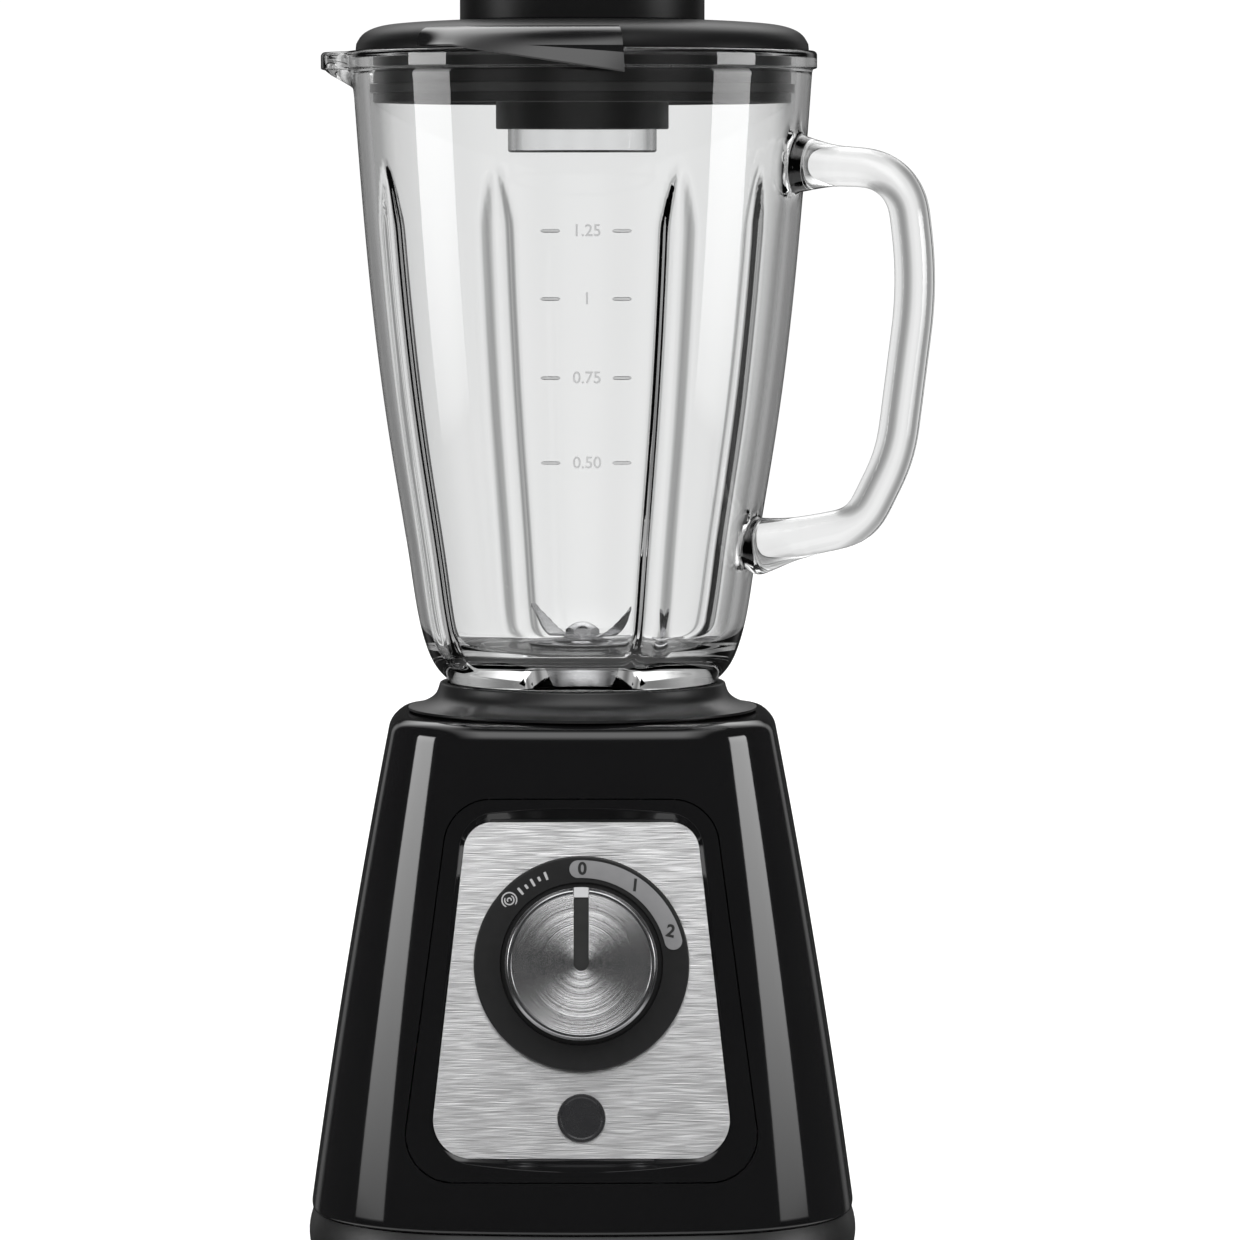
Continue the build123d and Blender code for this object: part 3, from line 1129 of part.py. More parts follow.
def lid_seal():
    return ring(SEAL_OUTER, SEAL_INNER + 0.05, SEAL_Z + 0.05, SEAL_Z + SEAL_HEIGHT - 0.05)


def cap_cover():
    shell = disc(CAP_RADIUS, LID_TOP_Z, CAP_TOP_Z)
    shell = fillet(shell.faces().sort_by(Axis.Z)[-1].edges(), CAP_ROUND)
    shell -= disc(CAP_RADIUS - CAP_WALL, LID_TOP_Z, CAP_TOP_Z - CAP_WALL - 1)
    return shell + ring(CAP_BOSS, CAP_BOSS - CAP_WALL, CUP_TOP_Z, CAP_TOP_Z - CAP_WALL)


def measuring_cup():
    cup = disc(CUP_RADIUS, CUP_FOOT_Z, CUP_TOP_Z)
    cup = fillet(cup.faces().sort_by(Axis.Z)[-1].edges(), 1.5)
    return cup - disc(CUP_RADIUS - CUP_THICKNESS, CUP_FOOT_Z, CUP_TOP_Z - CUP_THICKNESS)


NODES = {
    "motor_housing": motor_housing,
    "base_tray": base_tray,
    "foot_ring": foot_ring,
    "base_screws": base_screws,
    "cord_inlet": cord_inlet,
    "control_bezel": control_bezel,
    "control_plate": control_plate,
    "badge": badge,
    "dial_ring": dial_ring,
    "speed_scale": speed_scale,
    "speed_switch": speed_switch,
    "knob_body": knob_body,
    "knob_face": knob_face,
    "knob_pointer": knob_pointer,
    "knob_index": knob_index,
    "knob_spindle": knob_spindle,
    "seat_plate": seat_plate,
    "interlock_pin": interlock_pin,
    "interlock_spring": interlock_spring,
    "interlock_switch": interlock_switch,
    "motor_coupling": motor_coupling,
    "motor_shaft": motor_shaft,
    "armature_core": armature_core,
    "armature_windings": armature_windings,
    "commutator": commutator,
    "cooling_fan": cooling_fan,
    "fan_shroud": fan_shroud,
    "stator_core": stator_core,
    "field_coils": field_coils,
    "upper_bracket": upper_bracket,
    "lower_bracket": lower_bracket,
    "upper_bearing": lambda: bearing(UPPER_CUP_Z + CUP_LIP),
    "lower_bearing": lambda: bearing(LOWER_CUP_Z + CUP_LIP),
    "frame_screws": frame_screws,
    "brush_holders": brush_holders,
    "carbon_brushes": carbon_brushes,
    "brush_springs": brush_springs,
    "motor_mounts": motor_mounts,
    "mount_screws": mount_screws,
    "circuit_board": circuit_board,
    "filter_capacitor": filter_capacitor,
    "glass_jug": glass_jug,
    "jug_collar": jug_collar,
    "blade_gasket": blade_gasket,
    "blade_carrier": blade_carrier,
    "carrier_nut": carrier_nut,
    "blade_bush": blade_bush,
    "shaft_seal": shaft_seal,
    "blade_shaft": blade_shaft,
    "thrust_washer": thrust_washer,
    "jug_coupling": jug_coupling,
    "lower_blade": lower_blade,
    "blade_spacer": blade_spacer,
    "upper_blade": upper_blade,
    "blade_cap_nut": blade_cap_nut,
    "lid": lid,
    "lid_seal": lid_seal,
    "cap_cover": cap_cover,
    "measuring_cup": measuring_cup,
}

for node, make in NODES.items():
    save(node, make())
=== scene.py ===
import json
import logging
import math
from dataclasses import dataclass, field
from enum import Enum
from typing import Any, Callable, Sequence

import bmesh
import bpy
import numpy as np
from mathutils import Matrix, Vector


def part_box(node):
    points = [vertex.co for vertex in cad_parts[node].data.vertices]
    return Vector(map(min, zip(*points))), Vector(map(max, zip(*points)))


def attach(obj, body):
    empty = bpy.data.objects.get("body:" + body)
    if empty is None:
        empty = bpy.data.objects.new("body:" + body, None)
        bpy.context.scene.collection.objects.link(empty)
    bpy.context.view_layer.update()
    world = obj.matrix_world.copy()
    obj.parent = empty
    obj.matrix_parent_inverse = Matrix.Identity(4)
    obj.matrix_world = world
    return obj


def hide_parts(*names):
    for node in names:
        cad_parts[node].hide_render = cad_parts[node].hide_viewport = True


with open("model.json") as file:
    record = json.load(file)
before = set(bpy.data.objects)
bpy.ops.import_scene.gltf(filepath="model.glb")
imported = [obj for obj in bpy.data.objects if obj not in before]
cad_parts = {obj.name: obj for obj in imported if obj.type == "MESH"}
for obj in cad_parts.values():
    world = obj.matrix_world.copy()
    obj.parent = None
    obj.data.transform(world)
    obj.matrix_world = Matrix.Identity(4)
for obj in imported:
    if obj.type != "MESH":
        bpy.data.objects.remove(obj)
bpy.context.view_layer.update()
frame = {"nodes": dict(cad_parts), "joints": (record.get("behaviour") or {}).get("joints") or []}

log = logging.getLogger("blender_looks")
MM = 0.001
SHARP_CREASE = math.radians(32.0)
Number = float | int


class Body(Enum):
    """The moving bodies of the frame."""

    BASE = "base"
    MOTOR = "motor"
    KNOB = "speed_knob"
    PIN = "safety_pin"
    JUG = "jug"
    BLADES = "blades"
    LID = "lid_assembly"
    CAP = "filler_cap"


class Joining(Enum):
    """What a closed tool does to a piece."""

    ADD = "UNION"
    CUT = "DIFFERENCE"


# ---------------------------------------------------------------- shader graph
class Wire:
    """One output socket of a node tree, so that shader maths reads as Python."""

    def __init__(self, graph: "Graph", socket: bpy.types.NodeSocket) -> None:
        """Wrap a socket.

        Args:
            graph: the graph that new Math nodes are added to.
            socket: the output socket.
        """
        self.graph = graph
        self.socket = socket

    def __add__(self, other: "Wire | Number") -> "Wire":
        """Sum of two values."""
        return self.graph.math("ADD", self, other)

    __radd__ = __add__

    def __sub__(self, other: "Wire | Number") -> "Wire":
        """Difference of two values."""
        return self.graph.math("SUBTRACT", self, other)

    def __rsub__(self, other: Number) -> "Wire":
        """A number less this value."""
        return self.graph.math("SUBTRACT", other, self)

    def __mul__(self, other: "Wire | Number") -> "Wire":
        """Product of two values."""
        return self.graph.math("MULTIPLY", self, other)

    __rmul__ = __mul__

    def __truediv__(self, other: "Wire | Number") -> "Wire":
        """Quotient of two values."""
        return self.graph.math("DIVIDE", self, other)

    def clipped(self, low: Number, high: Number) -> "Wire":
        """This value rescaled so that low becomes 0 and high becomes 1, held inside 0 to 1."""
        inputs = {0: self, 1: low, 2: high, 3: 0.0, 4: 1.0}
        return Wire(self.graph, self.graph.node("ShaderNodeMapRange", {"clamp": True}, inputs).outputs[0])


class Graph:
    """A node tree of a material or of the world."""

    def __init__(self, tree: bpy.types.NodeTree) -> None:
        """Start from an empty tree.

        Args:
            tree: the node tree, which is cleared.
        """
        self.tree = tree
        tree.nodes.clear()

    def node(self, kind: str, settings: dict[str, Any], inputs: dict[Any, Any]) -> bpy.types.Node:
        """Add a node.

        Args:
            kind: the node's type name.
            settings: properties, set before the sockets are.
            inputs: socket name or number to a value, a Wire or a socket.

        Returns:
            The new node.
        """
        node = self.tree.nodes.new(kind)
        for name, value in settings.items():
            setattr(node, name, value)
        for key, value in inputs.items():
            target = node.inputs[key]
            if isinstance(value, Wire):
                self.tree.links.new(value.socket, target)
            elif isinstance(value, bpy.types.NodeSocket):
                self.tree.links.new(value, target)
            else:
                target.default_value = value
        return node

    def math(self, operation: str, a: "Wire | Number", b: "Wire | Number" = 0.0) -> Wire:
        """A Math node on one or two values."""
        return Wire(self, self.node("ShaderNodeMath", {"operation": operation}, {0: a, 1: b}).outputs[0])

    def vector(self, operation: str, a: Any, b: Any = (0.0, 0.0, 0.0), scale: Any = 1.0) -> Wire:
        """A Vector Math node; LENGTH and DOT_PRODUCT give a value, the others a vector."""
        node = self.node("ShaderNodeVectorMath", {"operation": operation}, {0: a, 1: b, 3: scale})
        return Wire(self, node.outputs[1 if operation in ("LENGTH", "DOT_PRODUCT") else 0])

    def object_point(self) -> Wire:
        """The surface point in the piece's own coordinates."""
        return Wire(self, self.node("ShaderNodeTexCoord", {}, {}).outputs["Object"])

    def split(self, vector: Wire) -> tuple[Wire, Wire, Wire]:
        """The three components of a vector."""
        node = self.node("ShaderNodeSeparateXYZ", {}, {0: vector})
        return Wire(self, node.outputs[0]), Wire(self, node.outputs[1]), Wire(self, node.outputs[2])

    def join(self, x: Any, y: Any, z: Any) -> Wire:
        """A vector from three values."""
        return Wire(self, self.node("ShaderNodeCombineXYZ", {}, {0: x, 1: y, 2: z}).outputs[0])

    def noise(self, point: Wire, scale: float, detail: float = 2.0) -> Wire:
        """Smooth noise from 0 to 1 over a point."""
        node = self.node("ShaderNodeTexNoise", {}, {"Vector": point, "Scale": scale, "Detail": detail})
        return Wire(self, node.outputs[0])

    def blend(self, factor: Wire, a: Sequence[float], b: Sequence[float]) -> Wire:
        """A colour between a and b."""
        inputs = {0: factor, 6: (*a, 1.0), 7: (*b, 1.0)}
        return Wire(self, self.node("ShaderNodeMix", {"data_type": "RGBA"}, inputs).outputs[2])

    def surface(self, inputs: dict[str, Any]) -> None:
        """Add the surface shader with its inputs and the output."""
        shader = self.node("ShaderNodeBsdfPrincipled", {}, inputs)
        self.node("ShaderNodeOutputMaterial", {}, {"Surface": shader.outputs[0]})

    def bump(self, strength: float, distance: float, height: Wire) -> bpy.types.NodeSocket:
        """A normal lifted by a height, whose distance is in metres."""
        inputs = {"Strength": strength, "Distance": distance, "Height": height}
        return self.node("ShaderNodeBump", {}, inputs).outputs[0]

    def leaned(self, lean: Any) -> Wire:
        """The surface normal leaned by a vector."""
        normal = self.node("ShaderNodeNewGeometry", {}, {}).outputs["Normal"]
        return self.vector("NORMALIZE", self.vector("ADD", normal, lean))


def blank_material(name: str) -> tuple[bpy.types.Material, Graph]:
    """A new material and its empty graph."""
    material = bpy.data.materials.new(name)
    material.use_nodes = True
    return material, Graph(material.node_tree)


Tint = tuple[float, float, float]


def grey(level: float, blue: float | None = None) -> Tint:
    """A neutral colour, with a blue of its own where it leans cold or warm."""
    return (level, level, level if blue is None else blue)


@dataclass(frozen=True)
class Finish:
    """A surface finish made of noise-driven colour, roughness and bump.

    Attributes:
        name: the material's name.
        light: the colour at the noise's high end.
        dark: the colour at its low end.
        metallic: 0 for plastics and rubber, 1 for metals.
        rough_low: the lowest roughness.
        rough_high: the highest roughness.
        grain: noise cells per metre.
        bump: height of the grain, as the Bump node's distance in metres.
        stretch: how much the grain is stretched along each axis.
        specular: the strength of the surface reflection.
    """

    name: str
    light: Tint
    dark: Tint
    metallic: float = 0.0
    rough_low: float = 0.3
    rough_high: float = 0.45
    grain: float = 900.0
    bump: float = 0.00002
    stretch: Tint = (1.0, 1.0, 1.0)
    specular: float = 0.5

    def material(self) -> bpy.types.Material:
        """Build the material: noise N over the stretched point mixes dark to light, sets the roughness
        between its two limits, and lifts the surface by bump times a finer noise."""
        material, graph = blank_material(self.name)
        point = graph.vector("MULTIPLY", graph.object_point(), self.stretch)
        broad = graph.noise(point, self.grain * 0.12, 3.0)
        fine = graph.noise(point, self.grain)
        rough = self.rough_low + (self.rough_high - self.rough_low) * (broad * 0.6 + fine * 0.4)
        graph.surface({
            "Base Color": graph.blend(broad, self.dark, self.light),
            "Roughness": rough,
            "Metallic": self.metallic,
            "Specular IOR Level": self.specular,
            "Normal": graph.bump(0.6, self.bump, fine),
        })
        return material


@dataclass(frozen=True)
class BrushedSteel:
    """Steel brushed along X on the tilted panel.

    Streaks are noise that changes slowly along X and fast up the panel. A shear, more cells along X for
    each metre of height, keeps the cells from lining up in columns.

    Attributes:
        name: the material's name.
        up: the direction up the plate.
        tilt: how far a fine streak turns the surface normal.
        broad_tilt: how far a broad streak turns it.
        along: noise cells per metre along the brushing.
        across: noise cells per metre across it.
        fine_shear: shear of the fine streaks, cells per metre.
        broad_shear: shear of the broad ones.
    """

    name: str
    up: Tint
    tilt: float = 0.86
    broad_tilt: float = 0.012
    along: float = 80.0
    across: float = 19000.0
    fine_shear: float = 2310.0
    broad_shear: float = 1170.0

    def material(self) -> bpy.types.Material:
        """Build the material: the streaks lean the normal up or down, and vary the tone and roughness. The
        colour is also painted lighter up the plate, a painted highlight of the light from above.
        """
        material, graph = blank_material(self.name)
        x, _, _ = graph.split(graph.object_point())
        height = graph.vector("DOT_PRODUCT", graph.object_point(), self.up)
        run, rise = x * self.along, height * self.across
        fine = graph.noise(graph.join(run + height * self.fine_shear, rise, 0.0), 1.0, 1.0)
        fine = fine.clipped(0.36, 0.64)
        broad = graph.noise(graph.join(run + height * self.broad_shear, rise * 0.3, 3.0), 1.0, 2.0)
        lean = (fine - 0.5) * self.tilt + (broad - 0.5) * self.broad_tilt
        # painted highlight: the height term lightens the plate's colour towards its top, as the light from
        # above would; the broad term is the streaks' own tone
        tone = broad * 0.12 + 0.09 + height.clipped(0.045, 0.15) * 0.70
        graph.surface({
            "Base Color": graph.blend(tone, grey(0.52, 0.525), grey(0.86, 0.865)),
            "Roughness": 0.40 + fine * 0.08,
            "Metallic": 1.0,
            "Normal": graph.leaned(graph.vector("SCALE", self.up, scale=lean)),
        })
        return material


@dataclass(frozen=True)
class SpunSteel:
    """Steel turned on a lathe: rings of noise about an axis lean the normal in and out.

    Attributes:
        name: the material's name.
        centre: a point on the axis, in metres.
        axis: the axis.
        tilt: how far a ring turns the normal.
        rings: fine rings per metre.
        bands: broad rings per metre.
    """

    name: str
    centre: Tint
    axis: Tint
    tilt: float = 0.80
    rings: float = 17000.0
    bands: float = 2400.0

    def material(self) -> bpy.types.Material:
        """Build the material: the radial direction, scaled by noise of the radius, leans the normal."""
        material, graph = blank_material(self.name)
        arm = graph.vector("SUBTRACT", graph.object_point(), self.centre)
        depth = graph.vector("DOT_PRODUCT", arm, self.axis)
        flat = graph.vector("SUBTRACT", arm, graph.vector("SCALE", self.axis, scale=depth))
        radius = graph.vector("LENGTH", flat)
        outward = graph.vector("NORMALIZE", flat)
        wave = graph.noise(graph.join(radius * self.rings, 0.0, 0.0), 1.0, 1.0).clipped(0.36, 0.64)
        broad = graph.noise(graph.join(radius * self.bands, 0.0, 5.0), 1.0, 2.0)
        turn = graph.node(
            "ShaderNodeVectorTransform",
            {"vector_type": "VECTOR", "convert_from": "OBJECT", "convert_to": "WORLD"},
            {0: graph.vector("SCALE", outward, scale=(wave - 0.5) * self.tilt)},
        )
        graph.surface({
            "Base Color": graph.blend(broad.clipped(0.3, 0.7), grey(0.70, 0.71), grey(0.80, 0.805)),
            "Roughness": 0.22 + broad * 0.03,
            "Metallic": 1.0,
            "Normal": graph.leaned(turn.outputs[0]),
        })
        return material


@dataclass(frozen=True)
class ClearFinish:
    """Glass or clear plastic with a faint waviness of the surface.

    Attributes:
        name: the material's name.
        tint: colour of the light that passes.
        roughness: blur of what is seen through it.
        index: index of refraction.
        wave: depth of the surface waviness, in metres.
    """

    name: str
    tint: Tint
    roughness: float = 0.0
    index: float = 1.5
    wave: float = 0.00004

    def material(self) -> bpy.types.Material:
        """Build the material: long soft noise feeds a small bump, as on pressed glass."""
        material, graph = blank_material(self.name)
        soft = graph.noise(graph.object_point(), 40.0, 1.0)
        graph.surface({
            "Base Color": graph.blend(soft, self.tint, grey(1.0)),
            "Roughness": self.roughness,
            "IOR": self.index,
            "Transmission Weight": 1.0,
            "Normal": graph.bump(0.5, self.wave, soft),
        })
        return material


# ---------------------------------------------------------------- shapes
Array = np.ndarray


def grid_object(name: str, points: Array, wrap_rows: bool = False,
                wrap_columns: bool = False) -> bpy.types.Object:
    """A mesh of quads over a grid of points.

    Args:
        name: the object's name.
        points: rows x columns x 3, in metres.
        wrap_rows: whether the last row joins the first.
        wrap_columns: whether the last column joins the first.

    Returns:
        The new object, at the origin, with merged seams and outward faces.
    """
    rows, columns = points.shape[:2]
    i = np.arange(rows if wrap_rows else rows - 1)[:, None]
    j = np.arange(columns if wrap_columns else columns - 1)[None, :]
    right, up = (j + 1) % columns, (i + 1) % rows
    quads = np.stack([i * columns + j, i * columns + right, up * columns + right, up * columns + j], -1)
    quads = quads.reshape(-1, 4).astype(np.int32)
    mesh = bpy.data.meshes.new(name)
    mesh.vertices.add(rows * columns)
    mesh.vertices.foreach_set("co", points.reshape(-1).astype(np.float32))
    mesh.loops.add(quads.size)
    mesh.loops.foreach_set("vertex_index", quads.reshape(-1))
    mesh.polygons.add(len(quads))
    mesh.polygons.foreach_set("loop_start", np.arange(0, quads.size, 4, dtype=np.int32))
    mesh.update(calc_edges=True)
    return settled(name, mesh)


def settled(name: str, mesh: bpy.types.Mesh) -> bpy.types.Object:
    """Merge doubles, turn the faces outwards, shade smooth with sharp creases, and link an object.

    Args:
        name: the object's name.
        mesh: its mesh.

    Returns:
        The linked object.
    """
    work = bmesh.new()
    work.from_mesh(mesh)
    bmesh.ops.remove_doubles(work, verts=work.verts, dist=1e-6)
    bmesh.ops.dissolve_degenerate(work, edges=work.edges, dist=1e-7)
    bmesh.ops.recalc_face_normals(work, faces=work.faces)
    if work.calc_volume(signed=True) < 0:
        bmesh.ops.reverse_faces(work, faces=work.faces)
    work.to_mesh(mesh)
    work.free()
    mesh.shade_smooth()
    mesh.set_sharp_from_angle(angle=SHARP_CREASE)
    return linked(name, mesh)


def linked(name: str, data: Any) -> bpy.types.Object:
    """A new object at the origin, in the scene, with the given mesh or curve."""
    piece = bpy.data.objects.new(name, data)
    bpy.context.scene.collection.objects.link(piece)
    return piece


def mesh_points(mesh: bpy.types.Mesh) -> Array:
    """The vertices of a mesh, n x 3."""
    flat = np.zeros(len(mesh.vertices) * 3, np.float32)
    mesh.vertices.foreach_get("co", flat)
    return flat.reshape(-1, 3).astype(float)


def lettering(name: str, text: str, size: float, depth: float, weight: float, steps: int,
              place: Callable[[Array], Array]) -> bpy.types.Object:
    """Numerals as a solid mesh, laid out flat about their middle and then moved by a rule.

    Args:
        name: the object's name.
        text: the numerals.
        size: height of the letters' body, in millimetres.
        depth: half their thickness.
        weight: how far their outline is grown.
        steps: pieces that each curve of the outline is cut into.
        place: the rule, from flat points in millimetres to points of the frame in metres.

    Returns:
        The mesh object.
    """
    curve = bpy.data.curves.new(name, "FONT")
    curve.body = text
    curve.size = size
    curve.align_x = "CENTER"
    curve.align_y = "CENTER"
    curve.extrude = depth
    curve.offset = weight
    curve.resolution_u = steps
    holder = linked("holder", curve)
    bpy.context.view_layer.update()
    mesh = bpy.data.meshes.new_from_object(holder.evaluated_get(bpy.context.evaluated_depsgraph_get()))
    bpy.data.objects.remove(holder)
    mesh.vertices.foreach_set("co", place(mesh_points(mesh)).reshape(-1).astype(np.float32))
    mesh.update()
    return linked(name, mesh)


def unit(vector: Array) -> Array:
    """A vector's direction."""
    return vector / np.linalg.norm(vector)


def corner_half(before: Array, after: Array) -> float:
    """Half the angle between the two sides that leave a corner."""
    return math.acos(float(np.clip(unit(before) @ unit(after), -1, 1))) / 2


def corner_arc(here: Array, before: Array, after: Array, radius: float, count: int) -> Array:
    """An arc that touches both sides of a corner; its centre is on the sides' bisector.

    Args:
        here: the corner.
        before: vector from it to the corner before.
        after: vector from it to the corner after.
        radius: the arc's radius.
        count: how many points to return.

    Returns:
        count x 2 points.
    """
    a, b, half = unit(before), unit(after), corner_half(before, after)
    centre = here + unit(a + b) * radius / math.sin(half)
    reach = radius / math.tan(half)
    start, end = here + a * reach - centre, here + b * reach - centre
    turn = math.atan2(start[0] * end[1] - start[1] * end[0], float(start @ end))
    angle = math.atan2(start[1], start[0]) + turn * np.linspace(0, 1, count)
    return centre + radius * np.stack([np.cos(angle), np.sin(angle)], axis=1)


def rounded(corners: Sequence[tuple[float, float, float]], steps: int = 6, closed: bool = True) -> Array:
    """A path through corners, each replaced by an arc of its radius and tangent to both its sides.

    Args:
        corners: (x, y, radius) for each corner.
        steps: pieces that each arc is cut into.
        closed: whether the last corner joins the first.

    Returns:
        The path's points, n x 2. Beside each arc lies one more point that keeps the flat flat.
    """
    xy = np.array([c[:2] for c in corners], float)
    count = len(xy)
    sides = [(xy[k - 1] - xy[k], xy[(k + 1) % count] - xy[k]) for k in range(count)]
    reaches = np.zeros(count)
    for k, (_, _, radius) in enumerate(corners):
        if radius > 0 and (closed or 0 < k < count - 1):
            reaches[k] = radius / math.tan(corner_half(*sides[k]))
    out: list[Array] = []
    for k, (_, _, radius) in enumerate(corners):
        before, after = sides[k]
        if reaches[k] == 0:
            out.append(xy[k][None, :])
            continue
        arc = corner_arc(xy[k], before, after, radius, steps + 1)
        spare = [np.linalg.norm(side) - reaches[k] - reaches[(k + step) % count]
                 for side, step in ((before, -1), (after, 1))]
        hold = [max(0.0, min(0.25 * radius, 0.3, room / 3)) for room in spare]
        out += [(arc[0] + unit(before) * hold[0])[None, :], arc, (arc[-1] + unit(after) * hold[1])[None, :]]
    return np.concatenate(out)


def smooth_curve(points: Sequence[tuple[float, float]], count: int) -> Array:
    """A natural cubic spline through points, spaced by chord length.

    Args:
        points: the (x, y) points it passes.
        count: how many points to return.

    Returns:
        count x 2 points. The second derivatives M solve the usual three-term equations.
    """
    p = np.array(points, float)
    t = np.concatenate([[0.0], np.cumsum(np.linalg.norm(np.diff(p, axis=0), axis=1))])
    h = np.diff(t)
    n = len(p)
    matrix = np.eye(n)
    right = np.zeros_like(p)
    for k in range(1, n - 1):
        matrix[k, k - 1:k + 2] = h[k - 1], 2 * (h[k - 1] + h[k]), h[k]
        right[k] = 6 * ((p[k + 1] - p[k]) / h[k] - (p[k] - p[k - 1]) / h[k - 1])
    second = np.linalg.solve(matrix, right)
    s = np.linspace(0, t[-1], count)
    k = np.clip(np.searchsorted(t, s, side="right") - 1, 0, n - 2)
    a, b, step = (t[k + 1] - s)[:, None], (s - t[k])[:, None], h[k][:, None]
    ends = (p[k] / step - second[k] * step / 6) * a + (p[k + 1] / step - second[k + 1] * step / 6) * b
    return ends + (second[k] * a**3 + second[k + 1] * b**3) / (6 * step)


def turned(profile: Array, segments: int = 160) -> Array:
    """A profile (r, z) in millimetres turned about Z: x = r sin a, y = -r cos a.

    Args:
        profile: n x 2.
        segments: columns round the axis.

    Returns:
        n x segments x 3 points, in metres.
    """
    angle = np.linspace(0, 2 * np.pi, segments, endpoint=False)[None, :]
    radius, height = profile[:, :1], profile[:, 1:]
    return np.stack([radius * np.sin(angle), -radius * np.cos(angle), height + 0 * angle], axis=-1) * MM


def lathe(name: str, corners: Sequence[tuple[float, float, float]], segments: int = 160) -> bpy.types.Object:
    """A closed solid of revolution about Z from (r, z, round) corners, in millimetres."""
    return grid_object(name, turned(rounded(corners), segments), wrap_rows=True, wrap_columns=True)


class PanelFrame:
    """The control panel's own axes: x across, y up the panel, z out of it, in millimetres."""

    def __init__(self) -> None:
        """Read the place and the axis from the knob's joint."""
        joint = next(j for j in frame["joints"] if j["name"] == "knob_turn")
        self.origin = np.array(joint["pos_m"], float)
        self.out = np.array(joint["axis"], float)
        self.out /= np.linalg.norm(self.out)
        self.across = np.array([1.0, 0.0, 0.0])
        self.up = np.cross(self.out, self.across)

    def place(self, points: Array) -> Array:
        """Panel points, in millimetres, as points of the frame, in metres."""
        x, y, z = (points[..., k:k + 1] * MM for k in range(3))
        return self.origin + x * self.across + y * self.up + z * self.out


PANEL = PanelFrame()


def ride(piece: bpy.types.Object, body: Body, slot: str, *nodes: str) -> None:
    """Fasten a piece to a body, and hide the CAD nodes it stands for.

    Args:
        piece: the new piece.
        body: the body it moves with.
        slot: the record's material slot; not used.
        nodes: the CAD nodes it replaces.
    """
    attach(piece, body.value)
    if nodes:
        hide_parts(*nodes)


def dress(piece: bpy.types.Object, material: bpy.types.Material) -> None:
    """Give a piece one material."""
    piece.data.materials.clear()
    piece.data.materials.append(material)


def boolean(piece: bpy.types.Object, tool: bpy.types.Object, joining: Joining) -> None:
    """Join or cut a piece with a closed tool, and drop the tool.

    Args:
        piece: the piece that is changed.
        tool: the other solid.
        joining: whether the tool is added or cut away.
    """
    step = piece.modifiers.new("cut", "BOOLEAN")
    step.operation = joining.value
    step.solver = "EXACT"
    step.object = tool
    apply_modifiers(piece)
    bpy.data.objects.remove(tool)


def apply_modifiers(piece: bpy.types.Object) -> None:
    """Bake a piece's modifiers into its mesh."""
    bpy.context.view_layer.update()
    evaluated = piece.evaluated_get(bpy.context.evaluated_depsgraph_get())
    mesh = bpy.data.meshes.new_from_object(evaluated)
    piece.modifiers.clear()
    piece.data = mesh


def outline_prism(name: str, outline: Array, low: float, high: float) -> bpy.types.Object:
    """A closed prism on the panel over a plane outline.

    Args:
        name: the object's name.
        outline: n x 2 points in panel millimetres.
        low: lower end along the panel's normal.
        high: upper end.

    Returns:
        The prism; its caps are fans to the outline's middle.
    """
    middle = np.broadcast_to(outline.mean(axis=0), outline.shape)
    rows = [(middle, low), (outline, low), (outline, high), (middle, high)]
    points = np.stack([np.concatenate([xy, np.full((len(xy), 1), z)], axis=1) for xy, z in rows])
    return grid_object(name, PANEL.place(points), wrap_columns=True)


